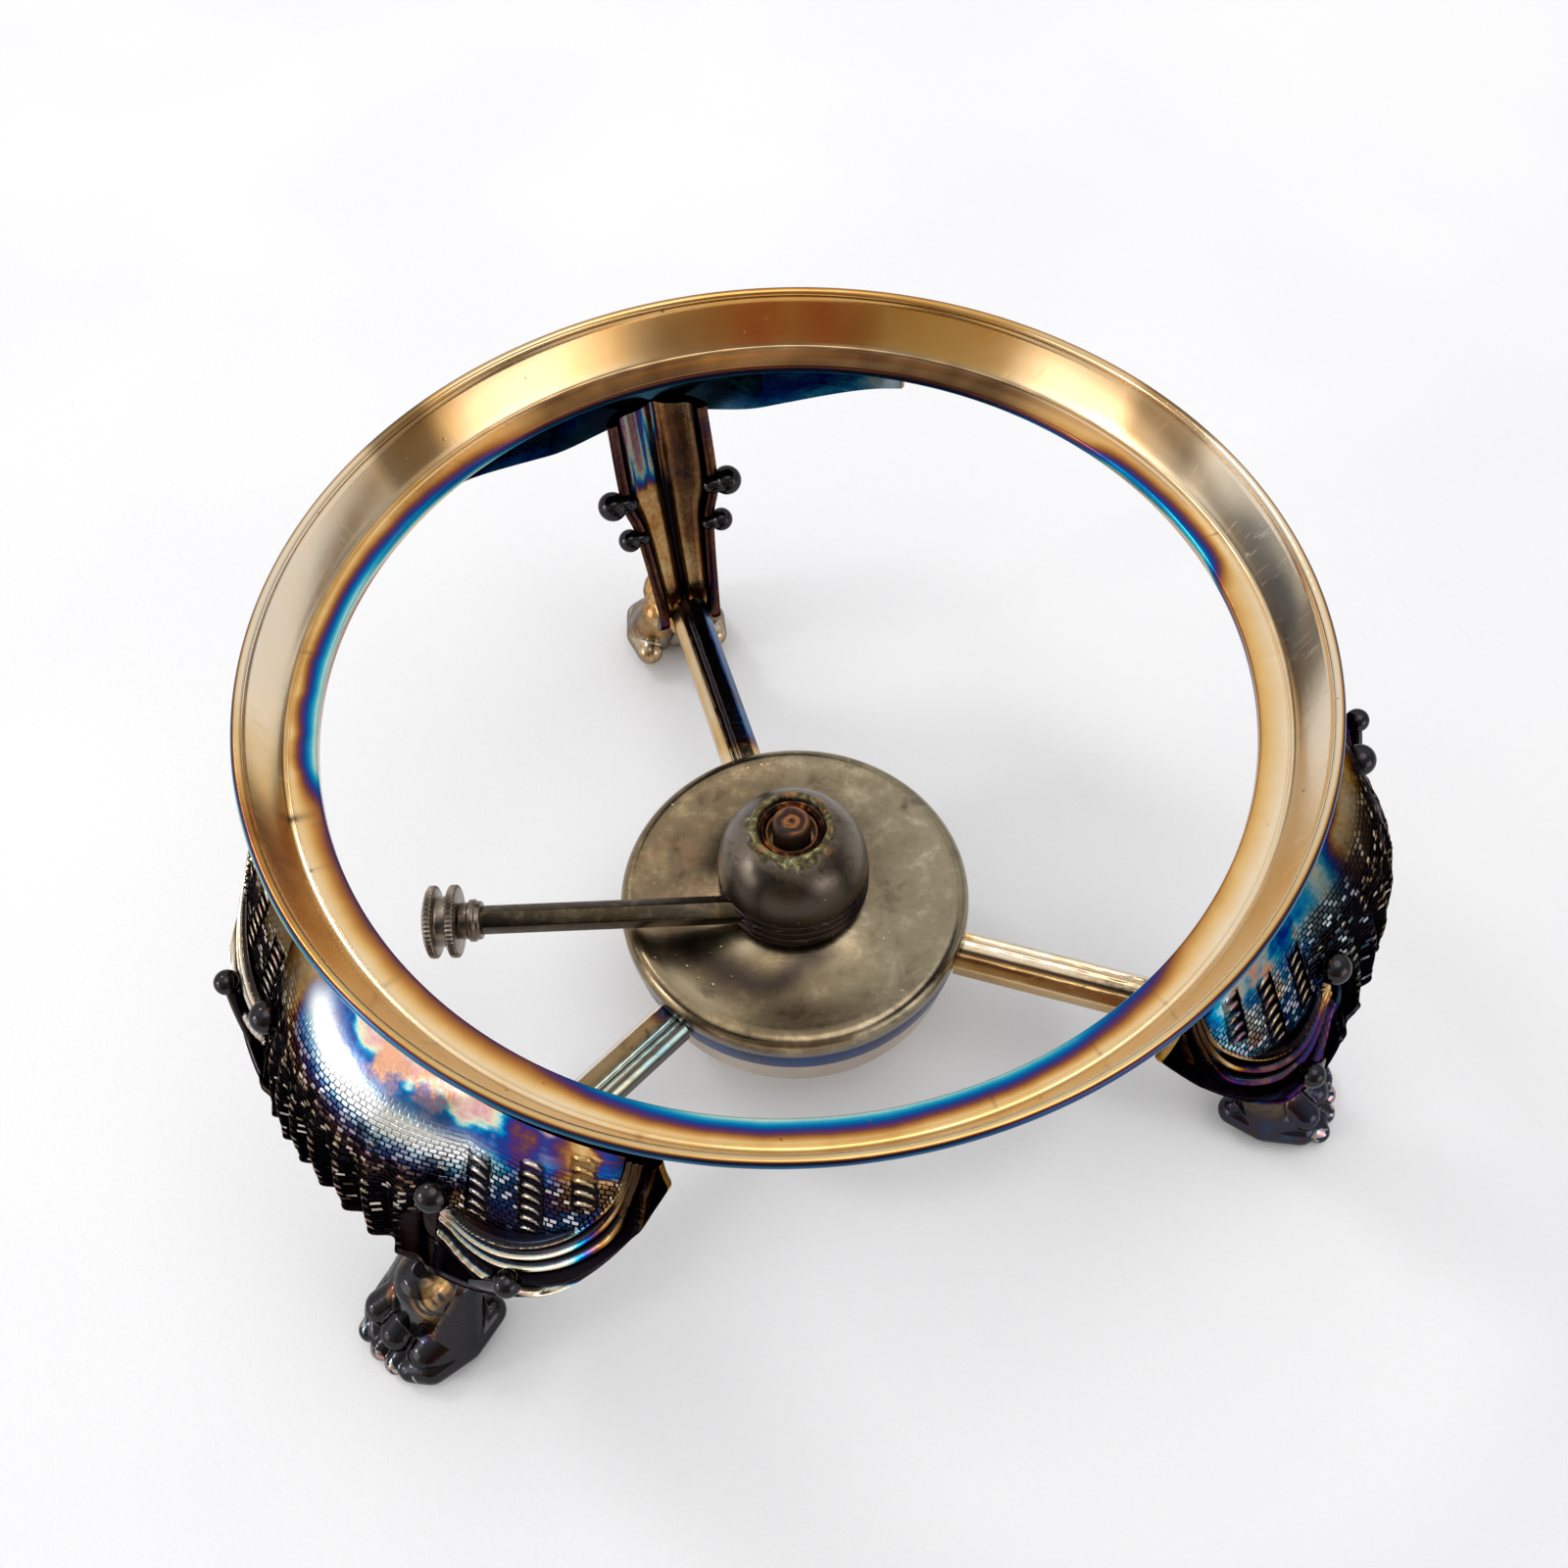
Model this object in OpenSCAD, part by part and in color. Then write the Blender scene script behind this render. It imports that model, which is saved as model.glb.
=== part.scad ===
// Tripod kettle stand with a spirit burner: a spun support ring on three cast
// shell-and-paw legs, three cross arms that carry a holder ring, and a drop-in
// spirit font whose domed head has a rack and pinion wick winder.
// Millimetres, +Z up. The origin is the centre of the kettle seat, the short
// cylindrical wall at the ring's inner edge.

/* [Support ring] */
// Radius of the rolled rim, outside
ring_r = 95; // [90:0.5:105]
// Radius of the kettle seat, the ring's inner wall
seat_r = 83.2; // [80:0.1:85]
// Height of the kettle seat's wall
seat_wall_h = 2; // [1.4:0.1:3]
// Radius of the crease between the flat band and the flare
crease_r = 89; // [87:0.1:90]
// Height of the crease above the seat
crease_z = 1.6; // [1.2:0.1:3]
// Height of the rim's top above the seat
rim_z = 12; // [9:0.1:16]
// Diameter of the rolled bead on the rim
bead_d = 2; // [1.4:0.1:3]
// Thickness of the ring's sheet
ring_wall = 1.5; // [1:0.1:2]

/* [Legs] */
// Height of the rim above the table
stand_h = 125; // [115:1:140]
// Direction of the first leg, from +X towards +Y
leg_1_dir = 224; // [210:0.5:240]
// Direction of the second leg
leg_2_dir = 341; // [330:0.5:360]
// Direction of the third leg
leg_3_dir = 105; // [90:0.5:120]
// Half of the angle that a leg's shell spans round the ring
shell_half_angle = 32.8; // [26:0.2:36]
// Radius that the shell's lip reaches
shell_reach = 112.2; // [108:0.5:118]
// Depth of the shell's lip below the seat
shell_drop = 35.5; // [30:0.5:40]
// How far the lip rises at the shell's middle
lip_rise = 4.5; // [2:0.5:7]
// Radius of the shell's ears at their ends
ear_end_r = 92.5; // [90:0.1:94]
// Depth of the ears' ends below the seat
ear_end_drop = 9.5; // [6:0.5:15]
// How late the ears' lower edge turns in towards the ring
ear_turn_in = 4.6; // [3:0.1:6]
// How late that edge turns up
ear_turn_up = 2.9; // [2:0.1:4]
// Thickness of the cast shell
shell_wall = 2; // [1.5:0.1:3]
// How far the shell's middle bulges from the straight slope
shell_bulge = 6.6; // [4:0.2:8]
// How far the ears bulge
ear_bulge = 0.4; // [0:0.2:5]
// Flutes across the shell's middle
flute_count = 9; // [5:1:13]
// Depth of the flutes at the lip
flute_depth = 1.2; // [0.3:0.1:1.5]
// Diameter of the balls at the inner ends of the ears
ear_ball_d = 6; // [4:0.5:8]
// Angle from the leg's middle to each of those balls
ear_ball_angle = 12.2; // [10:0.1:15]
// How far down the shell they sit, as a share of its slope
ear_ball_share = 0.5; // [0.4:0.02:0.6]
// Diameter of the drops that hang outside the ears' lower edges
drop_ball_d = 4.6; // [3:0.2:6]
// Angle from the leg's middle to each drop
drop_angle = 20.4; // [17:0.2:24]
// Radius at which the drops stand
drop_r = 109.5; // [107:0.5:112]
// Depth of the drops below the seat
drop_depth = 23; // [20:0.5:28]
// Width of the shank under the shell
shank_top_w = 24; // [18:0.5:28]
// Radius at which the upper beads stand
bead_upper_r = 99; // [94:0.5:106]
// Depth of the upper beads below the seat
bead_upper_drop = 47; // [42:0.5:50]
// Radius at which the lower beads stand
bead_lower_r = 97; // [92:0.5:104]
// Depth of the lower beads below the seat
bead_lower_drop = 57.5; // [54:0.5:62]
// Depth of the ankle below the seat
ankle_drop = 81; // [76:0.5:86]
// Width of the shank at the ankle
ankle_w = 16; // [13:0.5:19]
// Radius at which the ankle's back stands
ankle_r = 90.5; // [86:0.5:95]
// Wall of the hollow-backed shank
shank_wall = 2.5; // [2:0.1:3.5]
// Diameter of the upper pair of beads on the shank
bead_upper_d = 7; // [5:0.5:9]
// Diameter of the lower pair of beads on the shank
bead_lower_d = 5.6; // [4:0.2:8]
// Width of the paw
paw_w = 27.5; // [24:0.5:32]
// How far the paws stand to the anticlockwise side of their legs
paw_side = 1; // [0:0.5:4]
// Length of the paw along the floor, heel to toe
paw_l = 28; // [22:0.5:32]
// Radius that the toes reach
paw_reach = 125; // [120:0.5:132]
// Height of the paw at the knuckles
paw_h = 15; // [12:0.5:18]

/* [Arms and holder] */
// Width of an arm at its base
arm_w = 9.4; // [7:0.2:12]
// Thickness of an arm
arm_h = 5.6; // [4:0.2:7]
// Height of the holder ring
holder_h = 6.6; // [5:0.2:9]
// Wall of the holder ring
holder_wall = 1.1; // [0.8:0.1:1.4]
// Gap between the holder ring and the font's pan
holder_gap = 0.4; // [0.2:0.1:0.8]

/* [Font] */
// Depth of the cover's top below the kettle seat
font_drop = 72; // [68:0.5:76]
// Radius of the pan that holds the spirit
pan_r = 35.5; // [32:0.5:37]
// Depth of the font, from the cover's top to the pan's base
font_h = 25; // [20:0.5:27]
// Radius of the pan's lower corner
pan_corner = 5; // [3:0.5:7]
// Thickness of the font's sheet
font_wall = 0.8; // [0.6:0.1:1]
// How far the cover's rim stands out past the pan
cover_lip = 2.5; // [2:0.1:3]
// Radius of the cover's shoulder
cover_shoulder = 3; // [2:0.5:4]
// Depth of the dish in the cover
cover_dish = 1.3; // [0.5:0.1:1.8]
// Bore of the neck that takes the head's plug
neck_bore_r = 11; // [10:0.1:11.5]
// Thickness of the gasket under the head
gasket_t = 0.8; // [0.5:0.1:1.5]

/* [Head] */
// Radius of the dome
dome_r = 16; // [15:0.1:18]
// Radius of the opening at the top of the dome
dome_mouth_r = 7.2; // [6.8:0.1:8]
// Thickness of the dome's sheet
dome_wall = 1; // [0.8:0.1:1.3]
// Height of the ribbed collar
collar_h = 8.5; // [8:0.5:11]
// Ribs round the collar
rib_count = 3; // [2:1:4]
// Length of the plug that sits in the neck
plug_l = 6; // [4:0.5:7]
// Radius of the wick
wick_r = 4; // [3:0.1:4.4]
// Wall of the wick's carrier tube and of its guide tube
tube_wall = 0.7; // [0.5:0.1:0.8]
// How far the wick stands above the dome's mouth
wick_proud = 2.6; // [1:0.2:4]

/* [Wick winder] */
// Across the flats of the hexagonal handle
handle_af = 5.4; // [4.6:0.1:6.4]
// Distance from the burner's axis to the handle's outer end
handle_reach = 66; // [50:0.5:68.5]
// Diameter of the spindle
spindle_d = 2; // [1.6:0.1:2.4]
// Running clearance round a turning or sliding piece
fit = 0.06; // [0.03:0.01:0.1]
// Teeth of the pinion
pinion_teeth = 10; // [8:1:12]
// Module of the pinion and rack
tooth_module = 0.5; // [0.4:0.05:0.6]
// Diameter of the knob's flanges
knob_d = 15.4; // [12:0.2:17]
// Thickness of each knurled flange
flange_t = 1.9; // [1.4:0.1:2.4]
// Gap between the knob's flanges
flange_gap = 2.6; // [1.6:0.1:3.4]
// Ridges round a knurled flange
knurl_count = 48; // [36:4:60]
// Diameter of the ferrule on the handle's outer end
ferrule_d = 9; // [8:0.2:11]
// Length of the ferrule
ferrule_l = 4.6; // [3:0.2:6]
// How far the wick can be lowered
wick_down = 4; // [2:0.5:4]
// How far the wick can be raised
wick_up = 3; // [2:0.5:4]

/* [Hidden] */

seat_gap = 0.15;  // solder or seat clearance between fixed pieces
floor_z = rim_z - stand_h;
font_z = -font_drop;  // top of the cover
function lerp(a, b, t) = a + (b - a) * t;
function unit(v) = v / norm(v);
function smooth(x) = let(c = min(1, max(0, x))) c * c * (3 - 2 * c);

cover_r = pan_r + cover_lip;
cover_rim_h = 5.5;  // from the cover's top to its lower edge
holder_top_z = font_z - cover_rim_h;
holder_in_r = pan_r + holder_gap;
holder_out_r = holder_in_r + holder_wall;
arm_top_z = holder_top_z - 0.8;  // clear of the cover's rim
arm_outer_r = ankle_r + 2.1;  // into the hollow of the shank
paw_top_z = arm_top_z - arm_h - 0.3;  // the solid paw starts just under the arm

// ---- support ring --------------------------------------------------------
bead_r = bead_d / 2;
flare_low = [crease_r, crease_z];
flare_high = [ring_r - bead_r - 0.6, rim_z - bead_r];
flare_dir = unit(flare_high - flare_low);
flare_out = [flare_dir.y, -flare_dir.x];  // points out of the flare's back
// Radius of the flare's back at height z.
function flare_back_r(z) =
  let(p = flare_low + flare_out * ring_wall)
  p.x + (z - p.y) * flare_dir.x / flare_dir.y;

module support_ring() {
  fillet_r = 1.4;  // between the band and the flare
  band_fall = 0.5;  // the band rises this much from the seat to the crease
  turn = atan2(flare_dir.y, flare_dir.x);
  fillet_centre = flare_low + fillet_r * [-tan(turn / 2), 1];
  fillet = [for (a = [-90 : turn / 4 : turn - 89.9]) fillet_centre + fillet_r * [cos(a), sin(a)]];
  seat_top = seat_wall_h / 2;
  color("burlywood") {
    rotate_extrude($fn = 180)
      polygon(concat(
        [[seat_r, -seat_top], [seat_r, seat_top - 0.3], [seat_r + 0.3, seat_top]],
        [[fillet[0].x - 2, lerp(seat_top, crease_z, 0.8)]],
        fillet,
        [flare_high, flare_high + flare_out * ring_wall],
        [flare_low + flare_out * ring_wall],
        [[crease_r - 1, crease_z - ring_wall - band_fall], [seat_r + 0.8, -seat_top]]
      ));
    rotate_extrude($fn = 180)
      translate([ring_r - bead_r, rim_z - bead_r]) circle(d = bead_d, $fn = 32);
  }
}

// ---- legs ----------------------------------------------------------------
leg_dirs = [leg_1_dir, leg_2_dir, leg_3_dir];
shell_top_z = crease_z + 1;  // the shell is soldered low on the flare's back
shell_top = [flare_back_r(shell_top_z) + seat_gap + shell_wall, shell_top_z];
lobe = 0.42;  // share of the half angle that the fluted middle takes
lobe_cols = flute_count * 4;
ear_cols = 10;
shell_rows = 10;
shell_phis = concat(
  [for (i = [0 : ear_cols - 1]) lerp(-shell_half_angle, -lobe * shell_half_angle, i / ear_cols)],
  [for (i = [0 : lobe_cols]) lerp(-lobe, lobe, i / lobe_cols) * shell_half_angle],
  [for (i = [1 : ear_cols]) lerp(lobe * shell_half_angle, shell_half_angle, i / ear_cols)]
);

function lobe_bulge(a) = a < lobe ? 1 - pow(a / lobe, 2) : 0;
function lobe_weight(a) = pow(lobe_bulge(a), 2);
// The shell's lower edge, as radius and height, at a share a of the half angle.
function shell_low(a) = [
  shell_reach - (shell_reach - ear_end_r) * pow(a, ear_turn_in),
  -shell_drop + lip_rise * lobe_weight(a) + (shell_drop - ear_end_drop) * pow(a, ear_turn_up)
];
function flute(phi, a, v) =
  let(pitch = 2 * lobe * shell_half_angle / flute_count)
  a < lobe
    ? flute_depth * smooth((v - 0.35) / 0.5) * smooth((lobe - a) / 0.08) * -cos(360 * (phi / pitch + 0.5))
    : 0;
// A point of the shell: v runs from the ring to the lip, depth into the wall.
function shell_point(phi, v, depth) =
  let(
    a = abs(phi) / shell_half_angle,
    fall = shell_low(a) - shell_top,
    out = unit([-fall.y, fall.x]),
    bulge = (ear_bulge + (shell_bulge - ear_bulge) * lobe_bulge(a)) * sin(180 * pow(v, 0.85)),
    relief = depth > 0 ? 0 : flute(phi, a, v),
    p = shell_top + fall * v + out * (bulge + relief - depth),
    r = max(p.x, flare_back_r(p.y) + seat_gap)
  )
  [r * cos(phi), r * sin(phi), p.y];

// Joins a rectangular grid of outer points to a matching grid of inner points.
module grid_shell(outer, inner) {
  rows = len(outer);
  cols = len(outer[0]);
  n = rows * cols;
  points = [for (g = [outer, inner]) for (row = g) for (p = row) p];
  function at(i, j) = i * cols + j;
  function quad(a, b, c, d) = [[a, b, c], [a, c, d]];
  faces = concat(
    [for (i = [0 : rows - 2]) for (j = [0 : cols - 2])
      for (f = quad(at(i, j), at(i, j + 1), at(i + 1, j + 1), at(i + 1, j))) f],
    [for (i = [0 : rows - 2]) for (j = [0 : cols - 2])
      for (f = quad(n + at(i, j), n + at(i + 1, j), n + at(i + 1, j + 1), n + at(i, j + 1))) f],
    [for (j = [0 : cols - 2])
      for (f = quad(at(0, j), n + at(0, j), n + at(0, j + 1), at(0, j + 1))) f],
    [for (j = [0 : cols - 2]) for (f = quad(
      at(rows - 1, j), at(rows - 1, j + 1), n + at(rows - 1, j + 1), n + at(rows - 1, j))) f],
    [for (i = [0 : rows - 2])
      for (f = quad(at(i, 0), at(i + 1, 0), n + at(i + 1, 0), n + at(i, 0))) f],
    [for (i = [0 : rows - 2]) for (f = quad(
      at(i, cols - 1), n + at(i, cols - 1), n + at(i + 1, cols - 1), at(i + 1, cols - 1))) f]
  );
  polyhedron(points = points, faces = faces);
}

module leg_shell() {
  grid_shell(
    [for (i = [0 : shell_rows]) [for (phi = shell_phis) shell_point(phi, i / shell_rows, 0)]],
    [for (i = [0 : shell_rows]) [for (phi = shell_phis) shell_point(phi, i / shell_rows, shell_wall)]]
  );
}

// Control sections of the shank: radius of its back, height, half width, depth.
shank_depth = 8;
shank_ctrl = [
  [shell_reach - shank_depth, -shell_drop + shank_depth, shank_top_w / 2, shank_depth - 1],
  [bead_upper_r, -bead_upper_drop, lerp(shank_top_w, ankle_w, 0.1) / 2 + 0.4, shank_depth + 0.5],
  [bead_lower_r, -bead_lower_drop, lerp(shank_top_w, ankle_w, 0.55) / 2, shank_depth],
  [ankle_r, -ankle_drop, ankle_w / 2, shank_depth - 0.5],
  [ankle_r + 2, paw_top_z - 3, ankle_w / 2 + 0.5, shank_depth + 1]
];
shank_steps = 4;
function spline(p, i, t) =
  let(
    n = len(p) - 1,
    a = p[max(0, i - 1)], b = p[i], c = p[i + 1], d = p[min(n, i + 2)]
  )
  b + 0.5 * t * (c - a + t * (2 * a - 5 * b + 4 * c - d + t * (3 * (b - c) + d - a)));
shank_sections = concat(
  [for (i = [0 : len(shank_ctrl) - 2]) for (k = [0 : shank_steps - 1]) spline(shank_ctrl, i, k / shank_steps)],
  [shank_ctrl[len(shank_ctrl) - 1]]
);
function shank_row(s, inset) = [
  for (a = [-90 : 15 : 90]) [s[0] + (s[3] - inset) * cos(a), (s[2] - inset) * sin(a), s[1]]
];

module leg_shank() {
  grid_shell(
    [for (s = shank_sections) shank_row(s, 0)],
    [for (s = shank_sections) shank_row(s, shank_wall)]
  );
}

toe_r = paw_w / 6;
toe_gap = paw_w / 4.2;
toe_tip_r = toe_r * 0.8;
pad_r = paw_w * 0.18;
knuckle_r = paw_w * 0.16;
heel_r = paw_l * 0.18;
instep_top_h = paw_h * 0.13;
sole_t = paw_h / 11;
// How far each toe stands back from the longest one
toe_back = [paw_l * 0.18, paw_l * 0.02, 0, paw_l * 0.07];
pad_lift = 0.3;  // only the flat sole touches the floor
sole_r = paw_reach - paw_l * 0.54;

module leg_paw() {
  // instep, from the ankle to the knuckles
  hull() {
    translate([ankle_r + ankle_w * 0.36, 0, paw_top_z - instep_top_h])
      cylinder(d = ankle_w * 0.92, h = instep_top_h, $fn = 24);
    translate([paw_reach - paw_l + heel_r * 1.2, paw_side, floor_z + heel_r + pad_lift]) sphere(r = heel_r, $fn = 16);
    for (s = [-1, 1]) {
      translate([paw_reach - paw_l * 0.48, paw_side + s * toe_gap, floor_z + pad_r + pad_lift])
        sphere(r = pad_r, $fn = 16);
      translate([paw_reach - paw_l / 2, paw_side + s * toe_gap * 0.6, floor_z + paw_h - knuckle_r])
        sphere(r = knuckle_r, $fn = 16);
    }
  }
  // four toes
  for (i = [0 : len(toe_back) - 1]) {
    side = i - (len(toe_back) - 1) / 2;
    tip_at = paw_reach - toe_back[i] - toe_tip_r;
    hull() {
      translate([tip_at - toe_r, paw_side + side * toe_gap * 0.98, floor_z + paw_h - toe_r - pad_lift])
        sphere(r = toe_r, $fn = 16);
      translate([tip_at, paw_side + side * toe_gap, floor_z + toe_tip_r + pad_lift])
        sphere(r = toe_tip_r, $fn = 16);
    }
  }
  // flat sole
  translate([sole_r, paw_side, floor_z])
    linear_extrude(sole_t)
      polygon([for (a = [0 : 15 : 345]) [paw_l * 0.39 * cos(a), paw_w * 0.39 * sin(a)]]);
}

// A ball with a leaf that grows out of the shell's lip.
module ear_drop(side) {
  root = shell_point(side * (drop_angle - 4), 0.97, shell_wall / 2);
  tip = [drop_r * cos(drop_angle), side * drop_r * sin(drop_angle), -drop_depth];
  hull() {
    translate(root) sphere(d = shell_wall * 1.8, $fn = 12);
    translate(lerp(root, tip, 0.6) - [0, 0, shell_wall * 0.6]) sphere(d = drop_ball_d * 0.8, $fn = 12);
    translate(tip) sphere(d = drop_ball_d * 0.75, $fn = 12);
  }
  translate(tip) sphere(d = drop_ball_d, $fn = 24);
}

module leg_bead(r, side, z, d) {
  translate([r, side, z]) sphere(d = d, $fn = 24);
}

module leg(i) {
  color("slategray")
    rotate([0, 0, leg_dirs[i - 1]]) {
      leg_shell();
      leg_shank();
      leg_paw();
      for (s = [-1, 1]) {
        translate(shell_point(s * ear_ball_angle, ear_ball_share, -ear_ball_d * 0.1)) sphere(d = ear_ball_d, $fn = 24);
        ear_drop(s);
        leg_bead(bead_upper_r, s * (shank_top_w / 2 + bead_upper_d * 0.3), -bead_upper_drop, bead_upper_d);
        leg_bead(bead_lower_r, s * (ankle_w / 2 + bead_lower_d * 0.62), -bead_lower_drop, bead_lower_d);
      }
    }
}

// ---- arms and holder ring ------------------------------------------------

// Half-hexagon section with two fine ridges.
module arm_section() {
  w = arm_w / 2;
  polygon([
    [-w, -arm_h], [-w, -arm_h * 0.45], [-w * 0.62, 0],
    [w * 0.1, 0], [w * 0.22, 0.35], [w * 0.34, 0],
    [w * 0.46, -0.15], [w * 0.58, 0.1], [w * 0.7, -0.4],
    [w, -arm_h * 0.45], [w, -arm_h]
  ]);
}

module arm(i) {
  color("goldenrod")
    rotate([0, 0, leg_dirs[i - 1]])
      difference() {
        translate([holder_in_r, 0, arm_top_z])
          rotate([90, 0, 90]) linear_extrude(arm_outer_r - holder_in_r) arm_section();
        translate([0, 0, arm_top_z - arm_h - 1]) cylinder(r = holder_out_r + seat_gap, h = arm_h + 2, $fn = 96);
      }
}

module holder_ring() {
  color("steelblue")
    translate([0, 0, holder_top_z - holder_h])
      difference() {
        cylinder(r = holder_out_r, h = holder_h, $fn = 96);
        translate([0, 0, -1]) cylinder(r = holder_in_r, h = holder_h + 2, $fn = 96);
      }
}

// ---- font ----------------------------------------------------------------
pan_base_z = font_z - font_h;
cover_under_z = font_z - cover_dish - font_wall - 0.3;  // flat seat for the pan's edge
neck_out_r = neck_bore_r + 1.4;
neck_flange_r = neck_out_r + 2;
function arc(c, r, a0, a1, n) = [for (i = [0 : n]) c + r * [cos(lerp(a0, a1, i / n)), sin(lerp(a0, a1, i / n))]];

module font_pan() {
  inner = pan_corner - font_wall;
  c = [pan_r - pan_corner, pan_base_z + pan_corner];
  color("tan")
    rotate_extrude($fn = 120)
      polygon(concat(
        [[0, pan_base_z]], arc(c, pan_corner, -90, 0, 6),
        [[pan_r, cover_under_z], [pan_r - font_wall, cover_under_z]],
        arc(c, inner, 0, -90, 6), [[0, pan_base_z + font_wall]]
      ));
}

module font_cover() {
  c = [cover_r - cover_shoulder, font_z - cover_shoulder];
  hole = neck_out_r + seat_gap;
  dish_r = lerp(neck_flange_r, c.x, 0.5);
  color("rosybrown")
    rotate_extrude($fn = 120)
      polygon(concat(
        [[hole, font_z], [neck_flange_r + 1, font_z]],
        [for (t = [0.25 : 0.25 : 0.75])
          [lerp(neck_flange_r + 1, c.x, t), font_z - cover_dish * sin(180 * t)]],
        arc(c, cover_shoulder, 90, 0, 5),
        [[cover_r, holder_top_z], [cover_r - 1.6, holder_top_z], [cover_r - 1.6, cover_under_z]],
        [[dish_r, cover_under_z], [hole, font_z - 1.2]]
      ));
}

module font_neck() {
  color("darkkhaki")
    translate([0, 0, font_z])
      difference() {
        union() {
          cylinder(r = neck_flange_r, h = neck_flange_t, $fn = 72);
          translate([0, 0, -plug_l - 1]) cylinder(r = neck_out_r, h = plug_l + 1 + neck_flange_t, $fn = 72);
        }
        translate([0, 0, -plug_l - 2]) cylinder(r = neck_bore_r, h = plug_l + 6, $fn = 72);
      }
}

neck_flange_t = 0.8;
gasket_z = font_z + neck_flange_t;
head_z = gasket_z + gasket_t;  // underside of the head's base
dome_base_z = head_z + collar_h;

module neck_gasket() {
  color("saddlebrown")
    translate([0, 0, gasket_z])
      difference() {
        cylinder(r = neck_flange_r, h = gasket_t, $fn = 72);
        translate([0, 0, -1]) cylinder(r = neck_bore_r, h = gasket_t + 2, $fn = 72);
      }
}

module wadding() {
  base_z = pan_base_z + font_wall;
  top_z = font_z - plug_l - 3;
  hole_r = tube_out_r + 1.5;
  out_r = pan_r - font_wall - 0.3;
  color("linen")
    rotate_extrude($fn = 72)
      polygon([
        [hole_r, base_z], [out_r - pan_corner, base_z], [out_r - 1, base_z + pan_corner],
        [out_r - 0.5, top_z - 2], [out_r - 3, top_z], [hole_r, top_z]
      ]);
}

// ---- head ----------------------------------------------------------------
carrier_in_r = wick_r + 0.05;
carrier_out_r = carrier_in_r + tube_wall;
tube_in_r = carrier_out_r + fit;
tube_out_r = tube_in_r + tube_wall;
base_t = 1.5;  // head's base plate
collar_wall = 2.2;
collar_r = dome_r - 0.7;

// Winder: the pinion's pitch line meets the rack's beside the guide tube.
pitch_r = tooth_module * pinion_teeth / 2;
tooth_pitch = PI * tooth_module;
rack_root_y = -(tube_out_r + 0.1);
rack_pitch_y = rack_root_y - 1.1 * tooth_module;
spindle_y = rack_pitch_y - pitch_r;
spindle_z = head_z + 4.6;
rack_w = 2.2;
slot_w = rack_w + 0.4;
pinion_w = 2;

// Room for the rack over its whole travel.
module rack_slot() {
  low = spindle_z - rack_low - wick_down - 0.5;
  high = spindle_z + rack_high + wick_up + 0.5;
  depth = 0.6 + tooth_module * 0.85 + rack_root_y - rack_pitch_y;
  translate([-slot_w / 2, rack_root_y - depth, low]) cube([slot_w, depth + 2, high - low]);
}

module head_collar() {
  rib_pitch = collar_h / (rib_count + 0.4);
  rib_r = rib_pitch * 0.34;
  color("dimgray")
    difference() {
      union() {
        translate([0, 0, head_z]) cylinder(r = collar_r, h = collar_h, $fn = 96);
        rotate_extrude($fn = 96)
          for (i = [0 : rib_count - 1])
            translate([collar_r, head_z + rib_pitch * (i + 0.7)]) circle(r = rib_r, $fn = 20);
        translate([0, 0, head_z - gasket_t - neck_flange_t - plug_l])
          cylinder(r = neck_bore_r - fit, h = plug_l + gasket_t + neck_flange_t + 1, $fn = 72);
      }
      // hollow above the base plate, for the winder
      translate([0, 0, head_z + base_t]) cylinder(r = collar_r - collar_wall, h = collar_h, $fn = 96);
      // hollow plug below it
      translate([0, 0, head_z - gasket_t - neck_flange_t - plug_l - 1])
        cylinder(r = neck_bore_r - 1.5, h = plug_l + gasket_t + neck_flange_t + 1, $fn = 72);
      // seat of the guide tube, and the rack's slot beside it
      translate([0, 0, head_z - 2]) cylinder(r = tube_out_r + seat_gap / 3, h = base_t + 4, $fn = 48);
      rack_slot();
      // way for the spindle's bush
      translate([-collar_r - 3, spindle_y, spindle_z]) rotate([0, 90, 0]) cylinder(d = bush_d, h = collar_r, $fn = 32);
    }
}

module dome() {
  mouth_z = sqrt(dome_r * dome_r - dome_mouth_r * dome_mouth_r);
  mouth_angle = atan2(mouth_z, dome_mouth_r);
  lip_r = dome_wall * 0.8;
  color("dimgray")
    translate([0, 0, dome_base_z])
      rotate_extrude($fn = 96) {
        polygon(concat(
          arc([0, 0], dome_r, 0, mouth_angle - 4, 14),
          arc([0, 0], dome_r - dome_wall, mouth_angle - 4, 0, 14)
        ));
        translate([dome_mouth_r + lip_r, mouth_z - lip_r * 0.6]) circle(r = lip_r, $fn = 20);
      }
}

tube_top_z = dome_base_z + sqrt(dome_r * dome_r - dome_mouth_r * dome_mouth_r) - 2;
wick_top_z = tube_top_z + 2 + wick_proud;
tube_base_z = head_z - gasket_t - neck_flange_t - plug_l - 6;

module wick_tube() {
  color("peru")
    difference() {
      translate([0, 0, tube_base_z]) cylinder(r = tube_out_r, h = tube_top_z - tube_base_z, $fn = 48);
      translate([0, 0, tube_base_z - 1]) cylinder(r = tube_in_r, h = tube_top_z - tube_base_z + 2, $fn = 48);
      rack_slot();
    }
}

bush_d = handle_af - 1;
collar_seat_r = collar_r + 1;
handle_in_x = -sqrt(collar_seat_r * collar_seat_r - spindle_y * spindle_y);

module along_handle(x) {
  translate([x, spindle_y, spindle_z]) rotate([0, -90, 0]) children();
}

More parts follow.
